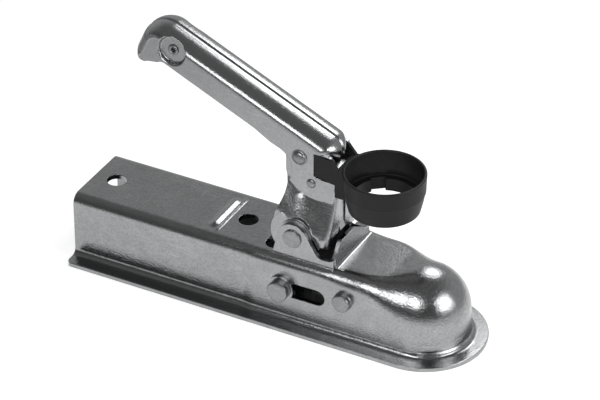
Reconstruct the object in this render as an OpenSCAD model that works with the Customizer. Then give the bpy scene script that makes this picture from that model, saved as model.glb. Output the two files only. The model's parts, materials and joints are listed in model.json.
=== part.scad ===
// Trailer coupling head for a square drawbar, shown with its hand lever raised
// Frame: the origin is the centre of the tow ball, X runs to the nose, Z is up
// The right side is at negative Y, and the left side mirrors it

/* [Ball and drawbar] */
// Diameter of the tow ball that the head takes
ball_d = 50; // [48:0.5:52]
// Gap between the ball and the inside of the nose
ball_gap = 1.1; // [0.8:0.1:1.6]
// Side of the square drawbar tube
tube_w = 50; // [48:0.5:51]
// Gap between the drawbar and each side wall
tube_gap = 0.3; // [0.2:0.1:0.6]
// Distance from the ball centre back to the rear end
rear_length = 235; // [225:1:260]

/* [Pressed body] */
// Thickness of the body sheet
sheet = 3.2; // [2.8:0.1:3.4]
// Height of the ball centre above the underside of the flange
ball_rise = 20.5; // [19.5:0.5:22]
// Height of the flat top above the ball centre
plate_rise = 26.3; // [26:0.1:27]
// Width of the flange outside the nose wall
flange_w = 11; // [9:0.5:13]
// Outer radius of the long top bends
top_bend_r = 6.5; // [5:0.5:8]
// Outer radius of the bend between wall and flange
flange_bend_r = 4; // [3:0.5:5]
// Where the channel starts to widen towards the nose
kink_rear_x = -113; // [-116:1:-110]
// Length of the widening
kink_length = 9; // [6:1:12]
// Where the top bends start to grow into the dome
dome_start_x = -35; // [-37:1:-33]
// Radius of the flange corners at the rear
flange_corner_r = 4; // [2:0.5:6]
// Height of the drawing ridges round the foot of the nose
ridge_h = 0.5; // [0:0.1:0.6]

/* [Bolting] */
// Radius of the drawbar bolt holes
bolt_r = 6.25; // [5.25:0.25:6.5]
// Distance from the ball centre back to the front bolt hole
bolt_front = 123.6; // [121:0.5:126]
// Spacing of the bolt holes
bolt_spacing = 96; // [90:1:98]

/* [Embossed rib] */
// Distance from the ball centre back to the rib
rib_back = 139.5; // [138.5:0.5:144]
// Length of the rib
rib_length = 29; // [20:1:34]
// Half width of the rib
rib_r = 4; // [3.4:0.2:4.4]
// Height of the rib above the top
rib_rise = 1.6; // [1:0.1:1.9]

/* [Lever pivot] */
// Distance from the ball centre back to the lever pivot
pivot_back = 79.5; // [78:0.5:81]
// Height of the lever pivot above the ball centre
pivot_rise = 40.2; // [39:0.2:42]
// Radius of the ears around the pivot
ear_r = 10; // [9.6:0.2:11]
// Half of the gap between the ears
ear_gap_half = 20.8; // [20.4:0.2:21]
// Radius of the pivot rivet
pivot_rivet_r = 5; // [4:0.5:5.5]
// Radius of the pivot rivet heads
pivot_head_r = 6.2; // [6:0.1:8]
// Height of the pivot rivet heads
pivot_head_h = 1.4; // [1:0.1:3]
// Outer radius of the bush that the lever turns on
bush_r = 8; // [7.2:0.2:8.6]
// Outer radius of the pivot washers
pivot_washer_r = 11; // [10:0.2:12]

/* [Closing slide] */
// Height of the slide pin above the ball centre
slide_rise = 5.2; // [4:0.2:6]
// Distance from the ball centre back to the slide pin when open
slide_back = 84.5; // [83:0.5:86]
// Travel of the slide pin from open to closed
slide_travel = 22; // [20:0.5:23]
// Spare length of the side slots past the closed position
slot_spare = 2.8; // [2:0.2:4]
// Radius of the slide pin
slide_pin_r = 5; // [4:0.2:5.2]
// Gap around the slide pin in the side slots
slide_gap = 0.3; // [0.2:0.1:0.4]
// Radius of the slide pin heads
slide_head_r = 7; // [6.4:0.2:7.6]
// Height of the slide pin heads
slide_head_h = 5; // [4:0.5:6]
// Radius of the washers under the slide pin heads
slide_washer_r = 8.8; // [8:0.2:9.4]
// Thickness of those washers
slide_washer_t = 1.6; // [1.2:0.1:2]
// Side play of the slide washers
washer_play = 0.3; // [0.2:0.05:0.5]
// Radial gap of a rivet or pin in its hole
rivet_gap = 0.05; // [0.03:0.01:0.08]

/* [Front rivet] */
// Distance from the ball centre back to the front rivet
front_rivet_back = 41.3; // [40.5:0.1:42.5]
// Height of the front rivet above the ball centre
front_rivet_rise = 9.2; // [8.6:0.2:9.8]
// Radius of the front rivet
front_rivet_r = 4; // [3.5:0.1:4.5]
// Radius of the front rivet heads
front_head_r = 6.3; // [6:0.1:7]
// Height of the front rivet heads
front_head_h = 4.6; // [4:0.2:6]
// Outer radius of the bush that guides the jaw
guide_bush_r = 6; // [5.6:0.1:6.4]

/* [Ball jaw] */
// Half width of the jaw between the lever legs
jaw_neck_half = 15.4; // [14.6:0.1:15.7]
// Half width of the jaw behind the ball
jaw_half = 21; // [19:0.5:22]
// Radial gap of the closed jaw to the ball
jaw_gap = 0.2; // [0.1:0.1:0.5]
// Depth of the jaw below the ball centre
jaw_drop = 16.5; // [14:0.5:17]
// Gap around the guide bush in the jaw slot
jaw_slot_gap = 0.3; // [0.2:0.1:0.5]

/* [Hand lever] */
// Slope of the grip when open
grip_slope = 24.2; // [23:0.2:25]
// Thickness of the grip sheet
grip_sheet = 2; // [1.6:0.1:2.1]
// Half width over the grip flanges
grip_half = 12.2; // [12:0.1:13]
// Distance from the pivot up to the crown of the grip
crown_rise = 67.3; // [66:0.5:69]
// Distance from the pivot up to the lower edge of the grip
grip_edge_rise = 45.6; // [45:0.2:47]
// Distance from the pivot back to the tip of the grip
grip_reach = 147; // [140:1:152]
// How far the crown stands out over the flanges
crown_bulge = 1.4; // [1:0.1:1.8]
// Depth of the groove along the crown
groove_depth = 0.7; // [0.4:0.1:1]
// Radius of the round dish at the tip
dish_r = 9; // [8:0.2:9.6]
// Depth of that dish
dish_depth = 2.6; // [2:0.1:3]

/* [Lever bracket] */
// Half width of the bracket at the pivot
bracket_half = 19.6; // [19.4:0.1:19.7]
// Thickness of the bracket sheet
bracket_sheet = 3.2; // [2.8:0.1:3.4]
// Radius of the flat boss around the pivot
boss_r = 17.4; // [16:0.2:17.6]
// Half width of the front gap in the bracket
web_gap_half = 4; // [3.6:0.1:5]
// Play of the slide pin in the fork of the lever
fork_play = 0.85; // [0.8:0.05:1]

/* [Plug holder] */
// Outer radius of the holder ring at its top
ring_r = 25.9; // [25:0.1:26.5]
// Height of the ring
ring_h = 26; // [24:0.5:27]
// Depth of the ledge inside the ring
ledge_depth = 17.5; // [15:0.5:19]
// Radius of the bore below the ledge
ring_bore_r = 19.4; // [18.4:0.2:20]
// Wall of the ring at its top
ring_wall = 1.8; // [1.6:0.1:2.2]
// Distance from the ball centre back to the ring axis
ring_back = 28.3; // [27.6:0.1:28.6]
// Height of the ring top above the ball centre
ring_top = 90.9; // [90:0.1:92]

/* [Springs] */
// Radius of the lever spring wire
lever_wire_r = 1.4; // [1.2:0.1:1.5]
// Mean radius of the lever spring coils
lever_coil_r = 10; // [9.8:0.1:10.2]
// Turns in each half of the lever spring
lever_turns = 3; // [2:1:3]
// Radius of the catch spring wire
catch_wire_r = 0.5; // [0.4:0.05:0.5]
// Turns of the catch spring
catch_turns = 2; // [1:1:2]

/* [Hidden] */
$fn = 48;

steel = [0.66, 0.68, 0.7];
dark_steel = [0.5, 0.52, 0.55];
plastic = [0.1, 0.1, 0.11];

flange_z = -ball_rise;
nose_r = ball_d / 2 + ball_gap + sheet;
rear_half = tube_w / 2 + tube_gap + sheet;
flange_half = nose_r + flange_w;
dome_flat = 1;
dome_bend_r = nose_r - dome_flat;
dome_rise = nose_r;
opening_front_x = -pivot_back + 30.5;
opening_rear_x = -pivot_back - 21.5;
opening_corner_r = 6;
ear_outer = ear_gap_half + sheet;

pivot = [-pivot_back, pivot_rise];
slide_open = [-slide_back, slide_rise];
front_rivet_at = [-front_rivet_back, front_rivet_rise];
leg_drop = pivot_rise - slide_rise;
leg_open = atan((pivot_back - slide_back) / leg_drop);
leg_closed = atan((pivot_back - slide_back + slide_travel) / leg_drop);
lever_swing = leg_closed - leg_open;

// A point on a circle
function polar(c, r, a) = c + r * [cos(a), sin(a)];
// Points along an arc
function arc(c, r, a0, a1, n) = [for (i = [0:n]) polar(c, r, a0 + (a1 - a0) * i / n)];
// A step from 0 to 1 with level ends
function ease(t) = let (s = min(1, max(0, t))) s * s * (3 - 2 * s);
// A value that eases from a to b between two places
function blend(x, x0, x1, a, b) = a + (b - a) * ease((x - x0) / (x1 - x0));
// A step from 0 to 1 that rises late
function late(t) = let (s = min(1, max(0, t))) s * s * s * (4 - 3 * s);

// A shape drawn in X and Z, made solid from y0 to y1
module across(y0, y1) {
    translate([0, y1, 0])
        rotate([90, 0, 0])
            linear_extrude(y1 - y0)
                children();
}

// A rod along Y
module rod(at, r, y0, y1) {
    translate([at[0], y1, at[1]])
        rotate([90, 0, 0])
            cylinder(r = r, h = y1 - y0);
}

// A tube along Y
module tube(at, r_in, r_out, y0, y1) {
    difference() {
        rod(at, r_out, y0, y1);
        rod(at, r_in, y0 - 1, y1 + 1);
    }
}

// A flat rivet head with a small edge chamfer, standing out along -Y from y0
module head(at, r, h, y0, edge = 0.5) {
    translate([at[0], y0, at[1]])
        rotate([90, 0, 0])
            rotate_extrude()
                polygon([[0, 0], [r, 0], [r, h - edge], [r - edge, h], [0, h]]);
}

// A domed rivet head standing out along -Y from y0
module domed_head(at, r, h, y0) {
    ball_r = (r * r + h * h) / (2 * h);
    translate([at[0], y0, at[1]])
        rotate([90, 0, 0])
            rotate_extrude()
                intersection() {
                    translate([0, h - ball_r])
                        circle(r = ball_r);
                    square([r, h]);
                }
}

// The same thing on the left side
module on_left() {
    mirror([0, 1, 0])
        children();
}

// The same thing on both sides
module both_sides() {
    children();
    on_left()
        children();
}

// A wire with round section along a list of points
function wire_ring(path, i, r, sides) =
    let (last = len(path) - 1)
    let (d = path[min(i + 1, last)] - path[max(i - 1, 0)])
    let (t = d / norm(d))
    let (side = [0, 1, 0] - t * t[1])
    let (u = side / norm(side))
    let (v = cross(t, u))
    [for (k = [0:sides - 1]) path[i] + r * (cos(360 * k / sides) * u + sin(360 * k / sides) * v)];

module wire(path, r, sides = 8) {
    skin([for (i = [0:len(path) - 1]) wire_ring(path, i, r, sides)]);
}

// A closed skin over rings that have the same number of points
module skin(rings) {
    n = len(rings[0]);
    last = len(rings) - 1;
    sides = [for (i = [0:last - 1]) for (k = [0:n - 1]) for (half = [0, 1])
        let (a = i * n + k, b = i * n + (k + 1) % n)
        half == 0 ? [a, b + n, b] : [a, a + n, b + n]];
    polyhedron(
        points = [for (ring = rings) each ring],
        faces = concat(sides, [[for (k = [0:n - 1]) k]], [[for (k = [n - 1:-1:0]) last * n + k]]),
        convexity = 8);
}

// Two triangles for the corners a, b, c and d
function quad(a, b, c, d, flip) = flip ? [[a, c, b], [a, d, c]] : [[a, b, c], [a, c, d]];

// Bent sheet over rows of points, with one row list for each side of the sheet
module bent_sheet(outer_rows, inner_rows) {
    n = len(outer_rows[0]);
    last = len(outer_rows) - 1;
    o = n * (last + 1);
    polyhedron(
        points = concat([for (r = outer_rows) each r], [for (r = inner_rows) each r]),
        faces = concat(
            [for (i = [0:last - 1]) for (k = [0:n - 2]) let (a = i * n + k)
                each quad(a, a + 1, a + n + 1, a + n, true)],
            [for (i = [0:last - 1]) for (k = [0:n - 2]) let (a = o + i * n + k)
                each quad(a, a + 1, a + n + 1, a + n, false)],
            [for (i = [0:last - 1]) each quad(i * n, (i + 1) * n, o + (i + 1) * n, o + i * n, true)],
            [for (i = [0:last - 1])
                each quad((i + 1) * n - 1, (i + 2) * n - 1, o + (i + 2) * n - 1, o + (i + 1) * n - 1, false)],
            [for (k = [0:n - 2]) each quad(k, k + 1, o + k + 1, o + k, false)],
            [for (k = [0:n - 2])
                each quad(last * n + k, last * n + k + 1, o + last * n + k + 1, o + last * n + k, true)]),
        convexity = 8);
}

// Body shell

function body_half(x) = blend(x, kink_rear_x, kink_rear_x + kink_length, rear_half, nose_r);
front_rise = plate_rise + 0.6;
function body_bend(x) = top_bend_r + (dome_bend_r - top_bend_r) * late(1 - x / dome_start_x);
function body_top(x) = x < dome_start_x
    ? blend(x, opening_front_x - 13, opening_front_x, plate_rise, front_rise)
    : blend(x, dome_start_x / 2, 0, front_rise, dome_rise);

bend_steps = 9;
fillet_steps = 4;
// Heights of the wall rows above the flange bend, with the ridge crests at the second and fourth
ridge_rows = [0.6, 1.2, 1.8, 2.4, 3];
// How far a wall row stands out on a spoke around the nose
function ridge(i, a) = (i == 1 || i == 3) ? blend(a, -84, -62, 0, ridge_h) * blend(a, -14, 8, 1, 0) : 0;
// Outer side of the section, from the flange edge to the middle of the top
function section_out(x, a = 90) =
    let (w = body_half(x), r = body_bend(x), b = body_top(x), f = flange_bend_r, z = flange_z + sheet)
    concat([[flange_half, z]],
        arc([w + f, z + f], f, 270, 180, fillet_steps),
        [for (i = [0:len(ridge_rows) - 1]) [w + ridge(i, a), z + f + ridge_rows[i]]],
        arc([w - r, b - r], r, 0, 90, bend_steps),
        [[0, b]]);
// Inner side of the section, with the same number of points
function section_in(x) =
    let (w = body_half(x), r = body_bend(x), b = body_top(x), f = flange_bend_r, z = flange_z + sheet)
    concat([[flange_half, flange_z]],
        arc([w + f, z + f], f + sheet, 270, 180, fillet_steps),
        [for (h = ridge_rows) [w - sheet, z + f + h]],
        arc([w - r, b - r], r - sheet, 0, 90, bend_steps),
        [[0, b - sheet]]);

shell_x = concat([-rear_length],
    [for (i = [0:3]) kink_rear_x + kink_length * i / 3],
    [for (i = [0:2]) opening_front_x - 13 * (1 - i / 2)],
    [for (i = [0:10]) dome_start_x * (1 - i / 10)]);
nose_steps = 24;
m = fillet_steps + len(ridge_rows) + bend_steps + 3;
row = 2 * m + 1;
shell_last = len(shell_x) - 1;
half_count = (shell_last + 1) * row + (nose_steps - 1) * m;

// One skin of the shell: rows across the channel, then spokes around the nose
function shell_points(inner) = concat(
    [for (x = shell_x) let (s = inner ? section_in(x) : section_out(x))
        each concat([for (j = [0:m]) [x, -s[j][0], s[j][1]]],
            [for (j = [m - 1:-1:0]) [x, s[j][0], s[j][1]]])],
    [for (k = [1:nose_steps - 1])
        let (a = -90 + 180 * k / nose_steps)
        let (s = inner ? section_in(0) : section_out(0, a))
        for (j = [0:m - 1]) [s[j][0] * cos(a), s[j][0] * sin(a), s[j][1]]]);
// Index of a point on spoke k around the nose
function spoke(k, j) =
    j == m ? shell_last * row + m
    : k == 0 ? shell_last * row + j
    : k == nose_steps ? shell_last * row + 2 * m - j
    : (shell_last + 1) * row + (k - 1) * m + j;
function skin_faces(o, flip) = concat(
    [for (i = [0:shell_last - 1]) for (j = [0:2 * m - 1]) let (a = o + i * row + j)
        each quad(a, a + 1, a + row + 1, a + row, flip)],
    [for (k = [0:nose_steps - 1]) for (j = [0:m - 2])
        each quad(o + spoke(k, j), o + spoke(k, j + 1), o + spoke(k + 1, j + 1), o + spoke(k + 1, j), flip)],
    [for (k = [0:nose_steps - 1])
        let (a = o + spoke(k, m - 1), b = o + spoke(k, m), c = o + spoke(k + 1, m - 1))
        flip ? [a, c, b] : [a, b, c]]);
// Strip that closes the sheet along a row of point pairs
function edge_faces(line, flip) = [for (i = [0:len(line) - 2])
    each quad(line[i], line[i + 1], line[i + 1] + half_count, line[i] + half_count, flip)];

module shell_sheet() {
    near_edge = [for (i = [0:shell_last]) i * row];
    nose_edge = [for (k = [0:nose_steps]) spoke(k, 0)];
    far_edge = [for (i = [shell_last:-1:0]) i * row + 2 * m];
    rear_edge = [for (j = [0:2 * m]) j];
    polyhedron(
        points = concat(shell_points(false), shell_points(true)),
        faces = concat(
            skin_faces(0, false),
            skin_faces(half_count, true),
            edge_faces(concat(near_edge, [for (k = [1:nose_steps - 1]) nose_edge[k]], far_edge), false),
            edge_faces(rear_edge, true)),
        convexity = 10);
}

// Side view of an ear: a round eye, its foot, and the low collar that runs on to the lip
module ear_outline() {
    foot = plate_rise - pivot_rise - 0.7;
    fillet = 4;
    notch_r = 6;
    notch_z = foot + 5.1 + notch_r;
    translate(pivot)
        polygon(concat(
            [[opening_rear_x - pivot[0] - 4.5, foot - 2], [opening_rear_x - pivot[0] - 4.5, foot]],
            arc([-ear_r - 7.3, foot + fillet], fillet, -90, -15, 4),
            arc([0, 0], ear_r, 165, 31, 14),
            arc([ear_r + 10.8, notch_z], notch_r, 211, 270, 5),
            arc([ear_r + 14, notch_z], notch_r, 270, 320, 4),
            [[ear_r + 18.6, foot - 2]]));
}

cove_r = 2.5;
// Section of an ear on the left, with the hollow bend that runs out into the top bend
module ear_section() {
    bend_at = [nose_r - top_bend_r, plate_rise - top_bend_r];
    cove_y = ear_outer + cove_r;
    rise = sqrt(pow(top_bend_r + cove_r, 2) - pow(cove_y - bend_at[0], 2));
    cove_at = [cove_y, bend_at[1] + rise];
    end = atan2(-rise, bend_at[0] - cove_y);
    inner = ear_gap_half - 0.3;
    foot = plate_rise - 2.6;
    top = pivot_rise + 20;
    polygon(concat(
        [[inner, foot], [inner, top], [ear_outer, top]],
        arc(cove_at, cove_r, 180, 360 + end, 4),
        [[ear_outer + 1.5, foot]]));
}
module ear() {
    intersection() {
        across(0, nose_r)
            ear_outline();
        translate([opening_rear_x - 10, 0, 0])
            rotate([90, 0, 90])
                linear_extrude(opening_front_x - opening_rear_x + 14)
                    ear_section();
    }
}

lip_lean = 20;
lip_rise = 12.3;
lip_base_half = 22.4;
lip_shoulder_half = 19.5;
lip_tip_half = 8.7;
// The lip bent up at the front edge of the opening
module lip() {
    translate([opening_front_x, 0, plate_rise])
        rotate([0, -lip_lean, 0])
            translate([-sheet, 0, 0])
                rotate([90, 0, 90])
                    linear_extrude(sheet)
                        for (side = [0, 1])
                            mirror([side, 0])
                                polygon([[-0.1, -2], [lip_base_half, -2], [lip_base_half, 4.6],
                                    [lip_shoulder_half, 6.3], [lip_tip_half, lip_rise], [-0.1, lip_rise]]);
}

// A rounded rectangle cut through the top between the ears
module top_opening() {
    length = opening_front_x - opening_rear_x;
    translate([opening_rear_x, -ear_gap_half, plate_rise - 2 * sheet])
        linear_extrude(4 * sheet + 30)
            union() {
                translate([opening_corner_r, 0])
                    square([length - opening_corner_r, 2 * ear_gap_half]);
                translate([0, opening_corner_r])
                    square([opening_corner_r + 1, 2 * (ear_gap_half - opening_corner_r)]);
                for (y = [opening_corner_r, 2 * ear_gap_half - opening_corner_r])
                    translate([opening_corner_r, y])
                        circle(r = opening_corner_r);
            }
}

// The raised rib across the top, also used for the hollow under it
module rib(r, length) {
    depth = (rib_r * rib_r - rib_rise * rib_rise) / (2 * rib_rise);
    ball_r = depth + rib_rise + r - rib_r;
    translate([-rib_back, 0, plate_rise - depth]) {
        rod([0, 0], ball_r, -length / 2 + rib_r, length / 2 - rib_r);
        for (side = [-1, 1])
            translate([0, side * (length / 2 - rib_r), 0])
                sphere(r = ball_r);
    }
}

module body_shell() {
    slot_r = slide_pin_r + slide_gap;
    wall_y = flange_half + 1;
    color(steel)
        difference() {
            union() {
                difference() {
                    union() {
                        shell_sheet();
                        both_sides()
                            ear();
                        intersection() {
                            rib(rib_r, rib_length);
                            translate([-rib_back - 10, -rib_length, plate_rise - sheet / 2])
                                cube([20, 2 * rib_length, 10]);
                        }
                    }
                    top_opening();
                }
                lip();
            }
            for (x = [-bolt_front, -bolt_front - bolt_spacing])
                translate([x, 0, 0])
                    cylinder(r = bolt_r, h = 2 * plate_rise);
            intersection() {
                rib(rib_r - sheet, rib_length);
                translate([-rib_back - 10, -rib_length, plate_rise - 2 * sheet])
                    cube([20, 2 * rib_length, 10]);
            }
            rod(pivot, pivot_rivet_r + rivet_gap, -wall_y, wall_y);
            rod(front_rivet_at, front_rivet_r + rivet_gap, -wall_y, wall_y);
            rod(slide_open, slot_r, -wall_y, wall_y);
            rod(slide_open + [slide_travel + slot_spare, 0], slot_r, -wall_y, wall_y);
            translate([-slide_back, -wall_y, slide_rise - slot_r])
                cube([slide_travel + slot_spare, 2 * wall_y, 2 * slot_r]);
            both_sides()
                translate([-rear_length - 1, -flange_half - 1, flange_z - 1])
                    difference() {
                        cube([flange_corner_r + 1, flange_corner_r + 1, sheet + 2]);
                        translate([flange_corner_r + 1, flange_corner_r + 1, -1])
                            cylinder(r = flange_corner_r, h = sheet + 4);
                    }
        }
}

module front_rivet() {
    color(steel)
        union() {
            rod(front_rivet_at, front_rivet_r, -nose_r - 1, nose_r + 1);
            both_sides()
                head(front_rivet_at, front_head_r, front_head_h, -nose_r, 0.6);
        }
}

module guide_bush() {
    inside = nose_r - sheet - 0.2;
    color(dark_steel)
        tube(front_rivet_at, front_rivet_r + rivet_gap, guide_bush_r, -inside, inside);
}

module pivot_rivet() {
    color(steel)
        union() {
            rod(pivot, pivot_rivet_r, -ear_outer - 1, ear_outer + 1);
            both_sides()
                head(pivot, pivot_head_r, pivot_head_h, -ear_outer);
        }
}

module pivot_bush() {
    color(dark_steel)
        tube(pivot, pivot_rivet_r + rivet_gap, bush_r, 0.1 - ear_gap_half, ear_gap_half - 0.1);
}

boss_outer = bracket_half + 0.2;
pivot_washer_gap = 0.1;
module pivot_washer_right() {
    color(dark_steel)
        tube(pivot, bush_r + 0.1, pivot_washer_r, 0.02 - ear_gap_half, -boss_outer - pivot_washer_gap);
}
module pivot_washer_left() {
    color(dark_steel)
        on_left()
            pivot_washer_right();
}

lever_pitch = 2 * lever_wire_r + 0.25;
spring_side_gap = 0.35;
function lever_spring_path() =
    let (steps = 16 * lever_turns, foot_z = pivot[1] - lever_coil_r)
    let (y1 = bracket_sheet + 0.1 + spring_side_gap + lever_wire_r - bracket_half)
    let (y0 = y1 + lever_pitch * lever_turns)
    let (rest_z = plate_rise - sheet - lever_wire_r - 0.4)
    concat(
        [[opening_rear_x - 6, y0, rest_z],
         [opening_rear_x + 3, y0, rest_z],
         [pivot[0] - 6, y0, foot_z - 0.8]],
        [for (i = [0:steps])
            [pivot[0] + lever_coil_r * sin(360 * i / 16), y0 + (y1 - y0) * i / steps,
             pivot[1] - lever_coil_r * cos(360 * i / 16)]],
        [[pivot[0] + 6, y1, foot_z + 0.8],
         [bracket_front(web_foot_z) - 1, y1, web_foot_z - lever_wire_r - 0.3]]);
module lever_spring_right() {
    color(dark_steel)
        wire(lever_spring_path(), lever_wire_r);
}
module lever_spring_left() {
    color(dark_steel)
        on_left()
            wire(lever_spring_path(), lever_wire_r);
}

// Hand lever

// Moves a shape drawn along the grip to its open slope about the pivot
module along_grip() {
    translate([pivot[0], 0, pivot[1]])
        rotate([0, grip_slope, 0])
            children();
}
function grip_point(p) = pivot + [p[0] * cos(grip_slope) + p[1] * sin(grip_slope),
    -p[0] * sin(grip_slope) + p[1] * cos(grip_slope)];

grip_inner = grip_half - grip_sheet;
arm_in = grip_inner + 0.1;
crown_half = grip_half + crown_bulge;
crown_bend_r = 5;
crown_depth = 6.6;
tip_r = 16;
front_curl_r = 16;
hook_r = 7.5;
hook_at = [hook_r - grip_reach, crown_rise - tip_r - 7];
tip_at = [tip_r - grip_reach, crown_rise - tip_r];
curl_at = [-28, crown_rise - front_curl_r];
catch_pin_r = 2.5;
catch_pin_at = grip_point([-8.3, crown_rise - 31.6]);
handle_rivet_r = 3.2;
handle_rivet_at = grip_point([-22.5, crown_rise - 19.8]);
dish_at = grip_point([tip_at[0] + 7.1, crown_rise - 10.2]);
end_rivet_r = 2.6;

// Half of the crown's section as [y, depth below the crown]
function crown_half_row(w, inset) =
    let (deep = groove_depth + inset)
    concat([[0, deep], [1.3, deep], [2.6, inset]],
        arc([w - crown_bend_r, crown_bend_r], crown_bend_r - inset, -90, 0, 5),
        [[w - 0.5 - inset, crown_depth]]);
// Both halves of a section as one row
function both_halves(o) = concat([for (k = [len(o) - 1:-1:1]) [-o[k][0], o[k][1]]], o);
// Stations along the crown as [place, direction of the outside, half width]
front_in = crown_half - arm_in + 0.4;
tip_half = grip_half + 0.3;
crown_path = concat(
    [for (i = [0:5]) let (a = 20 + 14 * i, w = crown_half - front_in * (1 - i / 5))
        [polar(curl_at, front_curl_r, a), a, w]],
    [for (i = [0:6]) let (a = 90 + 15 * i, w = blend(a, 100, 160, crown_half, tip_half))
        [polar(tip_at, tip_r, a), a, w]],
    [for (i = [0:6]) let (a = 180 + 16 * i)
        [polar(hook_at, hook_r, a), a, tip_half]]);
function crown_row(s, inset) = [for (p = both_halves(crown_half_row(s[2], inset)))
    let (at = s[0] - p[1] * [cos(s[1]), sin(s[1])]) [at[0], p[0], at[1]]];

module crown() {
    bent_sheet([for (s = crown_path) crown_row(s, 0)], [for (s = crown_path) crown_row(s, grip_sheet)]);
}

// Side view of a grip flange, with the part that grips the bracket
module flange_outline() {
    z = grip_edge_rise;
    inset = 2.2;
    heel_at = [-7, z - 10.2];
    polygon(concat(
        [[-40, z - 0.6], [hook_at[0] + 13.5, z]],
        arc(hook_at + [12, z - 4.5 - hook_at[1]], 4.5, 90, 150, 3),
        arc(hook_at, hook_r - inset, -40, -180, 5),
        arc(tip_at, tip_r - inset, 180, 90, 5),
        arc(curl_at, front_curl_r - inset, 90, 64, 3),
        [curl_at + [12.3, 5.3], curl_at + [18.9, -9.3]],
        // The corner that wraps the front of the bracket
        [heel_at + [10.2, 9.5], heel_at + [11.8, 9.8], heel_at + [16.2, -3.9], heel_at + [8.6, -7]],
        arc(heel_at, 10, 285, 228, 4),
        [heel_at + [-17, -6.2], heel_at + [-21.6, -5.8], heel_at + [-23.2, 0.6]],
        arc([-39, z - 9.1], 8.4, 10, 70, 4)));
}

// Profile of the pressed dish, from its floor out to its rim
dish_edge_r = dish_r + 0.6;
module dish_sheet() {
    translate([dish_at[0], -grip_half - 0.2, dish_at[1]])
        rotate([-90, 0, 0])
            rotate_extrude()
                polygon([[0, dish_depth], [dish_r - 2.6, dish_depth], [dish_r - 1, 0.1], [dish_edge_r, 0],
                    [dish_edge_r, grip_sheet], [dish_r - 0.6, grip_sheet + 0.6],
                    [dish_r - 1.6, dish_depth + grip_sheet], [0, dish_depth + grip_sheet]]);
}
// What the dish leaves open
module dish_hollow() {
    above = crown_bulge + 2;
    floor_y = above - 0.2 + dish_depth;
    translate([dish_at[0], -grip_half - above, dish_at[1]])
        rotate([-90, 0, 0])
            rotate_extrude()
                polygon([[0, 0], [dish_r, 0], [dish_r, above], [dish_r - 2.8, floor_y], [0, floor_y]]);
}

module handle_grip() {
    color(steel)
        difference() {
            union() {
                along_grip()
                    crown();
                along_grip()
                    both_sides()
                        across(-grip_half, -grip_inner)
                            flange_outline();
                both_sides()
                    dish_sheet();
            }
            both_sides()
                dish_hollow();
            rod(dish_at, end_rivet_r + rivet_gap, -crown_half, crown_half);
            rod(handle_rivet_at, handle_rivet_r + rivet_gap, -crown_half, crown_half);
            rod(catch_pin_at, catch_pin_r + rivet_gap, -crown_half, crown_half);
        }
}

module grip_end_rivet() {
    floor_y = grip_half + 0.2 - dish_depth;
    color(steel)
        difference() {
            union() {
                rod(dish_at, end_rivet_r, -floor_y - 0.5, floor_y + 0.5);
                both_sides()
                    head(dish_at, 3.6, 1, -floor_y, 0.4);
            }
            both_sides()
                rod(dish_at, 1.5, -floor_y - 3, -floor_y + 3);
        }
}

module grip_spacer() {
    reach = grip_half + 0.2 - dish_depth - grip_sheet;
    color(dark_steel)
        tube(dish_at, end_rivet_r + rivet_gap, end_rivet_r + 2, -reach + 0.02, reach - 0.02);
}

bracket_top_half = grip_inner - 0.1;
module handle_rivet_right() {
    inner_y = bracket_top_half - bracket_sheet;
    color(steel)
        union() {
            rod(handle_rivet_at, handle_rivet_r, -grip_half - 0.5, -inner_y + 0.5);
            domed_head(handle_rivet_at, 4.6, 2.6, -grip_half);
            head(handle_rivet_at, 5.3, 0.5, -grip_half, 0.2);
            translate([0, -inner_y, 0])
                mirror([0, 1, 0])
                    head(handle_rivet_at, 4.6, 1.6, 0);
        }
}
module handle_rivet_left() {
    on_left()
        handle_rivet_right();
}

module catch_pin() {
    color(steel)
        union() {
            rod(catch_pin_at, catch_pin_r, -grip_half - 0.5, grip_half + 0.5);
            both_sides()
                domed_head(catch_pin_at, 3.2, 1.4, -grip_half);
        }
}

// Outlines of the bracket in side view, by height
web_foot_z = pivot_rise - 4.2;
web_gap_top = web_foot_z + 32;
dimple_at = [pivot[0] - 0.2, pivot_rise + 26.4];
bracket_flare_low = pivot_rise + 12;
bracket_flare_high = pivot_rise + 24.6;
bracket_top_z = pivot_rise + 58;
function bracket_front(z) = pivot[0] + lookup(z - pivot_rise,
    [[-4.2, 21.1], [6, 22.2], [18, 22.7], [58, 22.7]]);
function bracket_rear(z) = pivot[0] + lookup(z - pivot_rise,
    [[-4.2, -14.6], [0, -15.4], [9, -17.5], [17, -16.6], [25, -14.9], [33, -14.1], [58, -11.5]]);
function bracket_width(z) = blend(z, bracket_flare_low, bracket_flare_high, bracket_half, bracket_top_half);
// Plan of one side of the folded sheet at one height
function bracket_row(z, inset) =
    let (w = bracket_width(z), f = bracket_front(z), b = bracket_rear(z), r = 4.4)
    let (half = concat([[b, w - inset]], arc([f - r, w - r], r - inset, 90, 0, 4)), n = len(half) - 1)
    concat([for (k = [0:n]) [half[k][0], -half[k][1], z]], [for (k = [n:-1:0]) [half[k][0], half[k][1], z]]);
bracket_levels = concat([web_foot_z, pivot_rise, pivot_rise + 6],
    [for (i = [0:8]) bracket_flare_low + (bracket_flare_high - bracket_flare_low) * i / 8],
    [pivot_rise + 33, bracket_top_z]);

fork_tip = leg_drop / cos(leg_closed) + slide_pin_r + 1;
fork_half = slide_pin_r + fork_play;
fork_wall = 4;
// Side view of the boss and leg that drives the slide pin
module leg_outline() {
    union() {
        translate(pivot)
            circle(r = boss_r);
        translate(pivot)
            rotate(leg_open)
                translate([-fork_half - fork_wall, -fork_tip])
                    square([2 * (fork_half + fork_wall), fork_tip]);
    }
}
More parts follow.
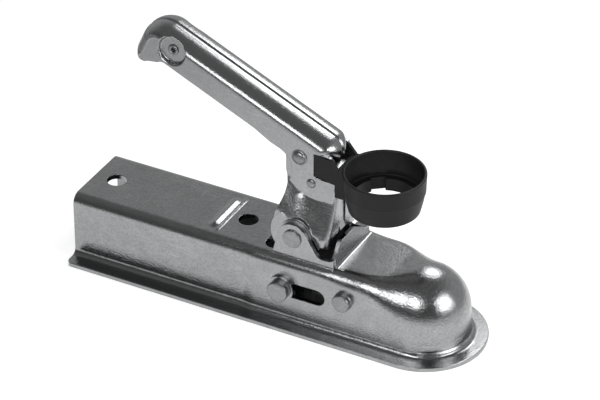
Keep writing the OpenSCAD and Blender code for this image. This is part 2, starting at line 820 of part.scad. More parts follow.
// The open slot of the fork
module fork_outline() {
    slot_top = leg_drop - slide_pin_r - 1.2;
    translate(pivot)
        rotate(leg_open)
            translate([-fork_half, -fork_tip - 1])
                square([2 * fork_half, fork_tip + 1 - slot_top]);
}

// What the crown of the grip leaves free above the bracket
module above_bracket() {
    difference() {
        union() {
            translate([-60, crown_rise - 8])
                square([120, 60]);
            translate([curl_at[0], curl_at[1] + 0.7])
                square([60, 60]);
        }
        translate(curl_at)
            circle(r = front_curl_r - crown_depth - 0.5);
    }
}

module lever_bracket() {
    inner = bracket_half - bracket_sheet;
    color(dark_steel)
        difference() {
            union() {
                bent_sheet(
                    [for (z = bracket_levels) bracket_row(z, 0)],
                    [for (z = bracket_levels) bracket_row(z, bracket_sheet)]);
                both_sides()
                    across(-boss_outer, 0.1 - inner)
                        leg_outline();
            }
            both_sides()
                across(-boss_outer - 1, 1 - inner)
                    fork_outline();
            along_grip()
                across(-30, 30)
                    above_bracket();
            translate([pivot[0] + 12, -web_gap_half, web_foot_z - 1])
                cube([20, 2 * web_gap_half, web_gap_top - web_foot_z + 1]);
            both_sides()
                translate([dimple_at[0], -bracket_width(dimple_at[1]) - 2.4, dimple_at[1]])
                    sphere(r = 3.4, $fn = 24);
            rod(pivot, bush_r + rivet_gap, -bracket_half - 1, bracket_half + 1);
            rod(handle_rivet_at, handle_rivet_r + rivet_gap, -bracket_half, bracket_half);
            rod(catch_pin_at, catch_pin_r + rivet_gap, -bracket_half, bracket_half);
            rod(spring_anchor_at, anchor_hole_r, -bracket_half, 0);
        }
}

// Safety catch behind the front gap of the bracket
catch_half = web_gap_half - 1;
catch_swing = 8;
catch_tail = [bracket_front(pivot_rise + 1), pivot_rise + 1];
module catch_arm() {
    p = catch_pin_at;
    f = catch_tail[0];
    top = web_gap_top;
    inner = bracket_front(top) - bracket_sheet - 0.3;
    across(-catch_half, catch_half)
        polygon([p + [-1, 5.2], p + [3.6, 4.6], [inner, top + 3.4], [inner, top - 1.4], [f - 0.2, top - 5],
            [f - 0.2, catch_tail[1] + 4], [f + 1, catch_tail[1]], [f - 3.4, catch_tail[1]],
            [f - 3.4, top - 6], [inner - 3, top - 2], p + [2, -4.9], p + [-1, -5.2]]);
}
module safety_catch() {
    color(steel)
        difference() {
            union() {
                rod(catch_pin_at, catch_pin_r + 3.1, -catch_half, catch_half);
                catch_arm();
            }
            rod(catch_pin_at, catch_pin_r + rivet_gap, -catch_half - 1, catch_half + 1);
        }
}

spring_anchor_at = catch_pin_at + [-9, -7];
anchor_hole_r = 2.6;
catch_leg_end = [8.4, -14];
catch_leg_turn = -47;
catch_anchor_turn = 20;
// A leg along the catch, the coil round its pin, and a leg hooked into the bracket
function catch_spring_path() =
    let (r = catch_pin_r + catch_wire_r + 0.4, steps = 12 * catch_turns, p = catch_pin_at)
    let (turned = 360 * catch_turns + catch_leg_turn - catch_anchor_turn)
    let (y0 = -catch_half - catch_wire_r - 0.2, y1 = y0 - catch_turns * (2 * catch_wire_r + 0.12))
    let (hook_y = 1 - bracket_width(spring_anchor_at[1]))
    concat(
        [[p[0] + catch_leg_end[0], y0, p[1] + catch_leg_end[1]],
         [p[0] + catch_leg_end[0] / 3, y0, p[1] + catch_leg_end[1] / 2]],
        [for (i = [0:steps]) let (a = catch_leg_turn - turned * i / steps)
            [p[0] + r * sin(a), y0 + (y1 - y0) * i / steps, p[1] - r * cos(a)]],
        [[spring_anchor_at[0] + 1.6, y1, spring_anchor_at[1] + 0.6],
         [spring_anchor_at[0] + 0.3, y1 - 0.5, spring_anchor_at[1] + 0.1],
         [spring_anchor_at[0], y1 - 1.6, spring_anchor_at[1]],
         [spring_anchor_at[0] - 0.3, hook_y, spring_anchor_at[1] - 0.1]]);
module catch_spring() {
    color(dark_steel)
        wire(catch_spring_path(), catch_wire_r, 6);
}

// Closing slide

jaw_front_z = front_rivet_rise - guide_bush_r - jaw_slot_gap;
module jaw_profile() {
    x0 = -slide_back;
    slot_half = guide_bush_r + jaw_slot_gap;
    slot_rear = front_rivet_at[0] - slide_travel;
    difference() {
        union() {
            translate(slide_open)
                circle(r = slide_pin_r + 4);
            polygon([[x0, slide_rise + slide_pin_r + 4], [x0 + 14, front_rivet_rise + slot_half + 2.4],
                [x0 + 18, front_rivet_rise + slot_half + 4], [-40, front_rivet_rise + slot_half + 4],
                [-34, front_rivet_rise], [-34, 0], [-38, 3 - jaw_drop], [-41, -jaw_drop],
                [x0 + 18, -jaw_drop], [x0, slide_rise - slide_pin_r - 4]]);
        }
        translate([slot_rear, front_rivet_rise])
            circle(r = slot_half);
        translate([slot_rear, front_rivet_rise - slot_half])
            square([60, 2 * slot_half]);
    }
}
module ball_jaw() {
    color(dark_steel)
        difference() {
            union() {
                across(-jaw_neck_half, jaw_neck_half)
                    jaw_profile();
                across(-jaw_half, jaw_half)
                    intersection() {
                        jaw_profile();
                        translate([-slide_back + 17, -jaw_drop - 1])
                            square([60, jaw_drop + jaw_front_z + 0.9]);
                    }
            }
            translate([-slide_travel, 0, 0])
                sphere(r = ball_d / 2 + jaw_gap, $fn = 96);
            rod(slide_open, slide_pin_r + rivet_gap, -jaw_half - 1, jaw_half + 1);
        }
}

washer_y = nose_r + washer_play;
module slide_pin() {
    reach = washer_y + slide_washer_t;
    color(steel)
        union() {
            rod(slide_open, slide_pin_r, -reach - 1, reach + 1);
            both_sides()
                head(slide_open, slide_head_r, slide_head_h, -reach, 0.7);
        }
}
module slide_washer_right() {
    color(steel)
        tube(slide_open, slide_pin_r + rivet_gap, slide_washer_r, -washer_y - slide_washer_t, -washer_y);
}
module slide_washer_left() {
    color(steel)
        on_left()
            slide_washer_right();
}

// Plug holder

arm_t = 2;
// Side view of an arm, from the grip to the ring
module arm_outline() {
    ring_back_x = -ring_back - ring_r;
    front_x = bracket_front(bracket_top_z) + 0.6;
    rest_z = pivot_rise + 39.8;
    foot_z = ring_top - ring_h + 6;
    polygon([grip_point(curl_at + [12.8, 5.1]), grip_point(curl_at + [19.2, -9]),
        [front_x - 2.1, rest_z + 0.2], [front_x, rest_z], [front_x, foot_z],
        [ring_back_x + 6.5, foot_z], [ring_back_x + 6.5, ring_top - 1], [ring_back_x + 1, ring_top - 1],
        [ring_back_x - 4.5, ring_top + 5.6]]);
}

key_half = 2;
key_depth = 1.6;
key_turn = 38;
module plug_holder() {
    band_h = 12.5;
    band_r = ring_r - 0.4;
    foot_r = ring_r - 3.4;
    core_r = ring_bore_r - 3;
    color(plastic)
        difference() {
            union() {
                translate([-ring_back, 0, ring_top - ring_h])
                    rotate_extrude($fn = 64)
                        polygon([[core_r, 0], [foot_r, 0], [band_r - 0.6, ring_h - band_h - 0.8],
                            [band_r, ring_h - band_h], [ring_r, ring_h - 0.4], [ring_r - 0.4, ring_h],
                            [core_r, ring_h]]);
                both_sides()
                    across(-arm_in - arm_t, -arm_in)
                        arm_outline();
                translate([-ring_back - ring_r - 1.6, -arm_in - 1, ring_top - ring_h + 6.1])
                    cube([6, 2 * arm_in + 2, ring_h - 7]);
            }
            translate([-ring_back, 0, ring_top - ledge_depth])
                cylinder(r = ring_r - ring_wall, h = ledge_depth + 1, $fn = 64);
            translate([-ring_back, 0, ring_top - ring_h - 1])
                cylinder(r = ring_bore_r, h = ring_h);
            // Keyways for the lugs of the plug
            for (turn = [0:90:270])
                translate([-ring_back, 0, ring_top - ring_h - 1])
                    rotate(turn + key_turn)
                        translate([0, -key_half, 0])
                            cube([ring_bore_r + key_depth, 2 * key_half, ring_h]);
        }
}

body_shell();
front_rivet();
guide_bush();
pivot_rivet();
pivot_bush();
pivot_washer_right();
pivot_washer_left();
lever_spring_right();
lever_spring_left();
lever_bracket();
handle_grip();
handle_rivet_right();
handle_rivet_left();
grip_spacer();
grip_end_rivet();
catch_pin();
plug_holder();
safety_catch();
catch_spring();
ball_jaw();
slide_pin();
slide_washer_right();
slide_washer_left();
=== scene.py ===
"""Looks of a pressed steel trailer coupling head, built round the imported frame.

Lengths are in millimetres until a mesh is made, and in metres from there on.
X runs to the nose, Z is up, and the right side of the head lies at negative Y.
"""
from __future__ import annotations

import json
import logging
import math
from dataclasses import dataclass, field
from enum import Enum
from typing import Callable, Sequence

import bmesh
import bpy
import numpy as np
from mathutils import Matrix, Vector


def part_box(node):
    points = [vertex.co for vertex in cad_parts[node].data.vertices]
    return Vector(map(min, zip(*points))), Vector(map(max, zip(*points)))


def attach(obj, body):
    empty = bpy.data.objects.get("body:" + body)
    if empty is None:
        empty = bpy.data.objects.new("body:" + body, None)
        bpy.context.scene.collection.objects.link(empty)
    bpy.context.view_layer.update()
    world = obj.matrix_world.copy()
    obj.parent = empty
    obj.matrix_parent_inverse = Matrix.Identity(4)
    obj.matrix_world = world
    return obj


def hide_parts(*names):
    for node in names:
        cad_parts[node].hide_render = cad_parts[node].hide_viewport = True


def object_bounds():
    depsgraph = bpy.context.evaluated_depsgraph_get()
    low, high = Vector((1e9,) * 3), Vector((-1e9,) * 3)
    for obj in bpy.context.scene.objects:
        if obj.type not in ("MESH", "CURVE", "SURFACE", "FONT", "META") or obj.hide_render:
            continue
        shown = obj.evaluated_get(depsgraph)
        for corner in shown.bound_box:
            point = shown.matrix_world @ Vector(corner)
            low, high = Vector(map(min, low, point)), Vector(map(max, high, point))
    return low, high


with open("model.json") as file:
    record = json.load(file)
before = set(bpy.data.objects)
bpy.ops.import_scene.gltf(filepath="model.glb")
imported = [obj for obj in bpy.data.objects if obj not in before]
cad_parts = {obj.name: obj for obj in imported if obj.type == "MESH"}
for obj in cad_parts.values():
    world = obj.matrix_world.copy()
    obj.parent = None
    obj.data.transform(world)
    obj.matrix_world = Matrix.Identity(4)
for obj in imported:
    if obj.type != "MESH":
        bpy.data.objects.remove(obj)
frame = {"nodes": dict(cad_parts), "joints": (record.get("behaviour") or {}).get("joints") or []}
CAD_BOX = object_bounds()

LOG = logging.getLogger("coupling")
MM = 0.001

Point = tuple[float, float, float]
Flat = tuple[float, float]
Ring = list[Point]


class Body(Enum):
    """The moving bodies of the frame."""

    HEAD = "root"
    LEVER = "lever"
    SLIDER = "slider"
    CATCH = "catch"


class Slot(Enum):
    """The material slots of the record."""

    ZINC_BODY = "zinc_body"
    ZINC_LEVER = "zinc_lever"
    RIVET = "rivet_steel"
    INNER = "inner_steel"
    SPRING = "spring_steel"
    JAW = "cast_jaw"
    PLASTIC = "black_plastic"


class Shaping(Enum):
    """What a tool solid does to the solid it meets."""

    CUT = "DIFFERENCE"
    JOIN = "UNION"
    KEEP = "INTERSECT"


# Curves and outlines


def polar(centre: Flat, radius: float, angle: float) -> Flat:
    """A point on a circle, with the angle in degrees."""
    turn = math.radians(angle)
    return centre[0] + radius * math.cos(turn), centre[1] + radius * math.sin(turn)


def arc(centre: Flat, radius: float, start: float, end: float, steps: int) -> list[Flat]:
    """Points along an arc from one angle to another, both ends included."""
    return [polar(centre, radius, start + (end - start) * i / steps) for i in range(steps + 1)]


def ease(t: float) -> float:
    """A step from 0 to 1 with level ends."""
    s = min(1.0, max(0.0, t))
    return s * s * (3 - 2 * s)


def late(t: float) -> float:
    """A step from 0 to 1 that rises late."""
    s = min(1.0, max(0.0, t))
    return s * s * s * (4 - 3 * s)


def blend(x: float, x0: float, x1: float, a: float, b: float) -> float:
    """A value that eases from a to b between two places."""
    return a + (b - a) * ease((x - x0) / (x1 - x0))


def spread(a: float, b: float, steps: int) -> list[float]:
    """Evenly spaced values from a to b, both ends included."""
    return [a + (b - a) * i / steps for i in range(steps + 1)]


def bump(d: float, width: float) -> float:
    """A round bump of height 1 at d = 0."""
    return math.exp(-(d / width) ** 2)


def lookup(x: float, table: Sequence[Flat]) -> float:
    """A value read from a short table of places, straight between them."""
    return float(np.interp(x, [p[0] for p in table], [p[1] for p in table]))


# Meshes


def closed_mesh(name: str, points: Sequence[Point], faces: Sequence[Sequence[int]]) -> bpy.types.Object:
    """Makes an object in the scene from points in millimetres, with its faces pointing outwards.

    Args:
        name: Name of the object.
        points: Corners of the mesh in millimetres.
        faces: Corner numbers of each face.

    Returns:
        The new object.
    """
    mesh = bpy.data.meshes.new(name)
    mesh.from_pydata([tuple(c * MM for c in p) for p in points], [], [list(f) for f in faces])
    work = bmesh.new()
    work.from_mesh(mesh)
    bmesh.ops.remove_doubles(work, verts=work.verts, dist=1e-7)
    bmesh.ops.dissolve_degenerate(work, edges=work.edges, dist=1e-8)
    bmesh.ops.recalc_face_normals(work, faces=work.faces)
    work.to_mesh(mesh)
    work.free()
    made = bpy.data.objects.new(name, mesh)
    bpy.context.scene.collection.objects.link(made)
    return made


def loft(name: str, rings: Sequence[Ring]) -> bpy.types.Object:
    """A closed solid through rings that have the same number of points."""
    n = len(rings[0])
    last = len(rings) - 1
    faces = [
        (i * n + k, i * n + (k + 1) % n, (i + 1) * n + (k + 1) % n, (i + 1) * n + k)
        for i in range(last)
        for k in range(n)
    ]
    faces.append(tuple(range(n)))
    faces.append(tuple(last * n + k for k in reversed(range(n))))
    return closed_mesh(name, [p for ring in rings for p in ring], faces)


def across(name: str, outline: Sequence[Flat], y0: float, y1: float) -> bpy.types.Object:
    """A prism along Y over an outline in X and Z."""
    return loft(name, [[(x, y, z) for x, z in outline] for y in (y0, y1)])


def along(name: str, outline: Sequence[Flat], x0: float, x1: float) -> bpy.types.Object:
    """A prism along X over an outline in Y and Z."""
    return loft(name, [[(x, y, z) for y, z in outline] for x in (x0, x1)])


def upright(name: str, outline: Sequence[Flat], z0: float, z1: float) -> bpy.types.Object:
    """A prism along Z over an outline in X and Y."""
    return loft(name, [[(x, y, z) for x, y in outline] for z in (z0, z1)])


def turned(name: str, at: Flat, profile: Sequence[Flat], sides: int = 64) -> bpy.types.Object:
    """A solid turned about an axis along Y.

    Args:
        name: Name of the object.
        at: The axis, in X and Z.
        profile: Pairs of place along Y and radius.
        sides: Number of faces around.

    Returns:
        The new object.
    """
    circle = [polar((0, 0), 1, 360 * k / sides) for k in range(sides)]
    return loft(name, [[(at[0] + r * c, y, at[1] + r * s) for c, s in circle] for y, r in profile])


def spun(name: str, at: Flat, profile: Sequence[Flat], sides: int = 96) -> bpy.types.Object:
    """A solid turned about an upright axis at (x, y), from pairs of height and radius."""
    circle = [polar((0, 0), 1, 360 * k / sides) for k in range(sides)]
    return loft(name, [[(at[0] + r * c, at[1] + r * s, z) for c, s in circle] for z, r in profile])


def bent_sheet(name: str, outer: Sequence[Ring], inner: Sequence[Ring]) -> bpy.types.Object:
    """A closed sheet over rows of points, with one list of rows for each side of it."""
    n = len(outer[0])
    last = len(outer) - 1
    o = n * (last + 1)
    grid = [
        (i * n + k, i * n + k + 1, (i + 1) * n + k + 1, (i + 1) * n + k)
        for i in range(last)
        for k in range(n - 1)
    ]
    faces = grid + [tuple(o + v for v in reversed(f)) for f in grid]
    rim = (
        [k for k in range(n)]
        + [i * n + n - 1 for i in range(1, last + 1)]
        + [last * n + k for k in reversed(range(n - 1))]
        + [i * n for i in reversed(range(1, last))]
    )
    for a, b in zip(rim, rim[1:] + rim[:1]):
        faces.append((a, b, b + o, a + o))
    points = [p for row in outer for p in row] + [p for row in inner for p in row]
    return closed_mesh(name, points, faces)


def settle(made: bpy.types.Object) -> None:
    """Turns an object's modifiers into its plain mesh."""
    bpy.context.view_layer.update()
    seen = made.evaluated_get(bpy.context.evaluated_depsgraph_get())
    mesh = bpy.data.meshes.new_from_object(seen)
    made.modifiers.clear()
    old, made.data = made.data, mesh
    bpy.data.meshes.remove(old)


def shape(base: bpy.types.Object, tool: bpy.types.Object, how: Shaping) -> bpy.types.Object:
    """Cuts, joins or keeps part of a solid with a tool solid, which is used up.

    Args:
        base: The solid that is changed.
        tool: The solid that it meets.
        how: What the tool does.

    Returns:
        The changed solid.
    """
    step = base.modifiers.new("shape", "BOOLEAN")
    step.object = tool
    step.operation = how.value
    step.solver = "MANIFOLD"
    settle(base)
    mesh = tool.data
    bpy.data.objects.remove(tool)
    bpy.data.meshes.remove(mesh)
    return base


def polish(made: bpy.types.Object, angle: float = 32.0) -> None:
    """Shades a mesh smooth up to an angle, with its large faces kept flat."""
    made.data.shade_smooth()
    made.data.set_sharp_from_angle(angle=math.radians(angle))
    even = made.modifiers.new("even", "WEIGHTED_NORMAL")
    even.keep_sharp = True
    settle(made)


# Node trees


class Graph:
    """Adds nodes to a tree and links them by their sockets' names."""

    def __init__(self, tree: bpy.types.NodeTree) -> None:
        """Keeps the tree that the nodes go into."""
        self.tree = tree

    def add(self, kind: str, values: dict | None = None, **settings: object) -> bpy.types.Node:
        """Adds a node.

        Args:
            kind: Blender's name of the node's type.
            values: Values or output sockets for inputs, by the input's name or number.
            **settings: Properties of the node itself.

        Returns:
            The new node.
        """
        made = self.tree.nodes.new(kind)
        for key, value in settings.items():
            setattr(made, key, value)
        for key, value in (values or {}).items():
            socket = made.inputs[key]
            if isinstance(value, bpy.types.NodeSocket):
                self.tree.links.new(value, socket)
            else:
                socket.default_value = value
        return made

    def math(self, operation: str, a: object, b: object = 0.0, c: object = 0.0) -> bpy.types.NodeSocket:
        """The result of a Math node on up to three values or sockets."""
        return self.add("ShaderNodeMath", {0: a, 1: b, 2: c}, operation=operation).outputs[0]

    def range(self, value: object, low: float, high: float, to_low: float, to_high: float) -> bpy.types.NodeSocket:
        """The result of a clamped Map Range node."""
        return self.add(
            "ShaderNodeMapRange", {0: value, 1: low, 2: high, 3: to_low, 4: to_high}
        ).outputs[0]

    def tint(self, share: object, a: object, b: object, kind: str = "MIX") -> bpy.types.NodeSocket:
        """The colour between a and b by a share."""
        return self.add(
            "ShaderNodeMix", {0: share, 6: a, 7: b}, data_type="RGBA", blend_type=kind
        ).outputs[2]

    def noise(self, vector: object, scale: object, detail: float = 3.0, rough: float = 0.55) -> bpy.types.NodeSocket:
        """The value of a Noise Texture node."""
        return self.add(
            "ShaderNodeTexNoise", {"Vector": vector, "Scale": scale, "Detail": detail, "Roughness": rough}
        ).outputs[0]

    def stretched(self, vector: object, scale: Point, turn: Point = (0, 0, 0)) -> bpy.types.NodeSocket:
        """Coordinates turned and stretched by a Mapping node."""
        return self.add(
            "ShaderNodeMapping", {"Vector": vector, "Rotation": turn, "Scale": scale}
        ).outputs[0]


def group(name: str, kind: str, inputs: Sequence[tuple[str, str, object]],
          outputs: Sequence[tuple[str, str]]) -> tuple[Graph, bpy.types.Node, bpy.types.Node]:
    """A new node group with named inputs and outputs.

    Args:
        name: Name of the group.
        kind: ShaderNodeTree or GeometryNodeTree.
        inputs: Name, socket type and first value of each input.
        outputs: Name and socket type of each output.

    Returns:
        The graph, its input node and its output node.
    """
    tree = bpy.data.node_groups.new(name, kind)
    for label, socket_type, value in inputs:
        made = tree.interface.new_socket(label, in_out="INPUT", socket_type=socket_type)
        if value is not None:
            made.default_value = value
    for label, socket_type in outputs:
        tree.interface.new_socket(label, in_out="OUTPUT", socket_type=socket_type)
    graph = Graph(tree)
    return graph, graph.add("NodeGroupInput"), graph.add("NodeGroupOutput")


FLOAT = "NodeSocketFloat"
INTEGER = "NodeSocketInt"
VECTOR = "NodeSocketVector"
COLOUR = "NodeSocketColor"
GEOMETRY = "NodeSocketGeometry"
MATERIAL = "NodeSocketMaterial"


def plating_group() -> bpy.types.NodeTree:
    """The grain, cloudy patches and drawn streaks of zinc plating on pressed sheet."""
    graph, start, end = group(
        "Plating",
        "ShaderNodeTree",
        [("Grain Scale", FLOAT, 1500.0), ("Patch Scale", FLOAT, 110.0), ("Streak Scale", FLOAT, 900.0)],
        [("Grain", FLOAT), ("Patches", FLOAT), ("Streaks", FLOAT)],
    )
    place = graph.add("ShaderNodeTexCoord").outputs["Object"]
    grain = graph.noise(place, start.outputs["Grain Scale"], 4.0, 0.62)
    patches = graph.noise(place, start.outputs["Patch Scale"], 6.0, 0.68)
    drawn = graph.stretched(place, (0.06, 1.0, 1.0))
    streaks = graph.noise(drawn, start.outputs["Streak Scale"], 3.0, 0.6)
    graph.tree.links.new(graph.range(grain, 0.32, 0.68, 0.0, 1.0), end.inputs["Grain"])
    graph.tree.links.new(graph.range(patches, 0.36, 0.64, 0.0, 1.0), end.inputs["Patches"])
    graph.tree.links.new(graph.range(streaks, 0.3, 0.7, 0.0, 1.0), end.inputs["Streaks"])
    return graph.tree


def scratch_group() -> bpy.types.NodeTree:
    """Fine scratches that lie in two directions and come and go over the surface."""
    graph, start, end = group(
        "Scratches", "ShaderNodeTree", [("Scale", FLOAT, 420.0), ("Amount", FLOAT, 0.5)], [("Scratch", FLOAT)]
    )
    place = graph.add("ShaderNodeTexCoord").outputs["Object"]
    marks = []
    for turn, stretch in (((0.3, 0.5, 0.7), (1.0, 0.05, 1.0)), ((1.1, 0.2, -0.5), (0.05, 1.0, 1.0))):
        lines = graph.noise(graph.stretched(place, stretch, turn), start.outputs["Scale"], 1.5, 0.4)
        near = graph.math("ABSOLUTE", graph.math("SUBTRACT", lines, 0.5))
        marks.append(graph.range(near, 0.0, 0.012, 1.0, 0.0))
    where = graph.range(graph.noise(place, 55.0, 2.0), 0.5, 0.66, 0.0, 1.0)
    both = graph.math("MULTIPLY", graph.math("MAXIMUM", marks[0], marks[1]), where)
    graph.tree.links.new(graph.math("MULTIPLY", both, start.outputs["Amount"]), end.inputs["Scratch"])
    return graph.tree


def edge_group() -> bpy.types.NodeTree:
    """A mask of the outer edges, which the finishes paint lighter as wear on the plating and as a painted edge
    highlight, and a rounded normal.
    """
    graph, start, end = group(
        "Edges",
        "ShaderNodeTree",
        [("Radius", FLOAT, 0.0005), ("Strength", FLOAT, 1.0)],
        [("Edge", FLOAT), ("Normal", VECTOR)],
    )
    soft = graph.add("ShaderNodeBevel", {"Radius": start.outputs["Radius"]}, samples=4)
    true = graph.add("ShaderNodeNewGeometry").outputs["True Normal"]
    match = graph.add(
        "ShaderNodeVectorMath", {0: soft.outputs[0], 1: true}, operation="DOT_PRODUCT"
    ).outputs["Value"]
    edge = graph.range(match, 0.97, 0.75, 0.0, 1.0)
    graph.tree.links.new(graph.math("MULTIPLY", edge, start.outputs["Strength"]), end.inputs["Edge"])
    graph.tree.links.new(soft.outputs[0], end.inputs["Normal"])
    return graph.tree


def rivet_tree() -> bpy.types.NodeTree:
    """Turned rivets along Y: a row of one or two heads with collars, on a shank."""
    graph, start, end = group(
        "Turned rivet",
        "GeometryNodeTree",
        [
            ("Geometry", GEOMETRY, None), ("Centre", VECTOR, (0, 0, 0)), ("Seat", FLOAT, 0.02),
            ("Inner End", FLOAT, 0.02), ("Heads", INTEGER, 2), ("Head Radius", FLOAT, 0.006),
            ("Head Height", FLOAT, 0.002), ("Head Roundness", FLOAT, 0.25), ("Collar Radius", FLOAT, 0.006),
            ("Collar Height", FLOAT, 0.0005), ("Shank Radius", FLOAT, 0.004), ("Material", MATERIAL, None),
        ],
        [("Geometry", GEOMETRY)],
    )
    given = start.outputs
    around, up, closing = 72, 20, 0.2

    def disc(radius: bpy.types.NodeSocket, height: bpy.types.NodeSocket, roundness: object) -> bpy.types.NodeSocket:
        """A closed turned disc that stands out along -Y, with a rounded rim."""
        grid = graph.add("GeometryNodeMeshGrid", {0: 1.0, 1: 1.0, 2: around + 1, 3: up + 1}).outputs[0]
        place = graph.add("ShaderNodeSeparateXYZ", {0: graph.add("GeometryNodeInputPosition").outputs[0]})
        turn = graph.math("MULTIPLY", graph.math("ADD", place.outputs[0], 0.5), 2 * math.pi)
        rise = graph.math("ADD", place.outputs[1], 0.5)
        floor = graph.range(rise, 0.0, closing, 0.0, 1.0)
        lean = graph.range(rise, closing, 1.0, 0.0, math.pi / 2)
        outer = graph.math("POWER", graph.math("COSINE", lean), roundness)
        upper = graph.math("POWER", graph.math("SINE", lean), roundness)
        reach = graph.math("MULTIPLY", graph.math("MULTIPLY", outer, floor), radius)
        spot = graph.add("ShaderNodeCombineXYZ", {
            0: graph.math("MULTIPLY", reach, graph.math("COSINE", turn)),
            1: graph.math("MULTIPLY", graph.math("MULTIPLY", upper, height), -1.0),
            2: graph.math("MULTIPLY", reach, graph.math("SINE", turn)),
        }).outputs[0]
        moved = graph.add("GeometryNodeSetPosition", {0: grid, "Position": spot}).outputs[0]
        return graph.add("GeometryNodeMergeByDistance", {0: moved, "Distance": 1e-6}).outputs[0]

    head = graph.add("GeometryNodeJoinGeometry")
    graph.tree.links.new(disc(given["Head Radius"], given["Head Height"], given["Head Roundness"]), head.inputs[0])
    graph.tree.links.new(disc(given["Collar Radius"], given["Collar Height"], 0.3), head.inputs[0])
    centre = graph.add("ShaderNodeSeparateXYZ", {0: given["Centre"]})
    first = graph.add("ShaderNodeCombineXYZ", {
        0: centre.outputs[0], 1: graph.math("MULTIPLY", given["Seat"], -1.0), 2: centre.outputs[2]}).outputs[0]
    step = graph.add("ShaderNodeCombineXYZ", {1: graph.math("MULTIPLY", given["Seat"], 2.0)}).outputs[0]
    row = graph.add("GeometryNodeMeshLine", {"Count": given["Heads"], "Start Location": first, "Offset": step})
    half_turn = graph.math("MULTIPLY", graph.add("GeometryNodeInputIndex").outputs[0], math.pi)
    facing = graph.add("ShaderNodeCombineXYZ", {2: half_turn}).outputs[0]
    heads = graph.add("GeometryNodeInstanceOnPoints", {
        "Points": row.outputs[0], "Instance": head.outputs[0], "Rotation": facing}).outputs[0]
    length = graph.math("ADD", given["Seat"], given["Inner End"])
    middle = graph.math("MULTIPLY", graph.math("SUBTRACT", given["Inner End"], given["Seat"]), 0.5)
    rod = graph.add("GeometryNodeMeshCylinder", {
        "Vertices": 48, "Radius": given["Shank Radius"], "Depth": length}).outputs[0]
    shift = graph.add("ShaderNodeCombineXYZ", {0: centre.outputs[0], 1: middle, 2: centre.outputs[2]}).outputs[0]
    shank = graph.add("GeometryNodeTransform", {
        0: rod, "Translation": shift, "Rotation": (math.pi / 2, 0, 0)}).outputs[0]
    whole = graph.add("GeometryNodeJoinGeometry")
    graph.tree.links.new(heads, whole.inputs[0])
    graph.tree.links.new(shank, whole.inputs[0])
    real = graph.add("GeometryNodeRealizeInstances", {0: whole.outputs[0]}).outputs[0]
    dressed = graph.add("GeometryNodeSetMaterial", {0: real, "Material": given["Material"]}).outputs[0]
    graph.tree.links.new(dressed, end.inputs[0])
    return graph.tree


def wire_tree() -> bpy.types.NodeTree:
    """Round wire along a line of edges."""
    graph, start, end = group(
        "Wire",
        "GeometryNodeTree",
        [
            ("Geometry", GEOMETRY, None), ("Wire Radius", FLOAT, 0.001), ("Spacing", FLOAT, 0.0008),
            ("Sides", INTEGER, 14), ("Material", MATERIAL, None),
        ],
        [("Geometry", GEOMETRY)],
    )
    given = start.outputs
    line = graph.add("GeometryNodeMeshToCurve", {0: given["Geometry"]}).outputs[0]
    even = graph.add("GeometryNodeResampleCurve", {0: line, "Length": given["Spacing"]}, mode="LENGTH").outputs[0]
    section = graph.add("GeometryNodeCurvePrimitiveCircle", {
        "Resolution": given["Sides"], "Radius": given["Wire Radius"]}).outputs[0]
    wire = graph.add("GeometryNodeCurveToMesh", {
        "Curve": even, "Profile Curve": section, "Fill Caps": True}).outputs[0]
    real = graph.add("GeometryNodeRealizeInstances", {0: wire}).outputs[0]
    dressed = graph.add("GeometryNodeSetMaterial", {0: real, "Material": given["Material"]}).outputs[0]
    graph.tree.links.new(dressed, end.inputs[0])
    return graph.tree


def keyway_tree() -> bpy.types.NodeTree:
    """Blocks in a ring about an upright axis, which cut keyways into a round wall."""
    graph, start, end = group(
        "Keyways",
        "GeometryNodeTree",
        [
            ("Geometry", GEOMETRY, None), ("Centre", VECTOR, (0, 0, 0)), ("Count", INTEGER, 4),
            ("Ring Radius", FLOAT, 0.02), ("Start Angle", FLOAT, 0.0), ("Block Size", VECTOR, (0.002, 0.002, 0.01)),
            ("Material", MATERIAL, None),
        ],
        [("Geometry", GEOMETRY)],
    )
    given = start.outputs
    places = graph.add("GeometryNodeMeshCircle", {
        "Vertices": given["Count"], "Radius": given["Ring Radius"]}).outputs[0]
    index = graph.add("GeometryNodeInputIndex").outputs[0]
    share = graph.math("DIVIDE", graph.math("MULTIPLY", index, 2 * math.pi), given["Count"])
    facing = graph.add("ShaderNodeCombineXYZ", {2: share}).outputs[0]
    block = graph.add("GeometryNodeMeshCube", {"Size": given["Block Size"]}).outputs[0]
    blocks = graph.add("GeometryNodeInstanceOnPoints", {
        "Points": places, "Instance": block, "Rotation": facing}).outputs[0]
    turn = graph.add("ShaderNodeCombineXYZ", {2: given["Start Angle"]}).outputs[0]
    set_out = graph.add("GeometryNodeTransform", {
        0: blocks, "Translation": given["Centre"], "Rotation": turn}).outputs[0]
    real = graph.add("GeometryNodeRealizeInstances", {0: set_out}).outputs[0]
    dressed = graph.add("GeometryNodeSetMaterial", {0: real, "Material": given["Material"]}).outputs[0]
    graph.tree.links.new(dressed, end.inputs[0])
    return graph.tree


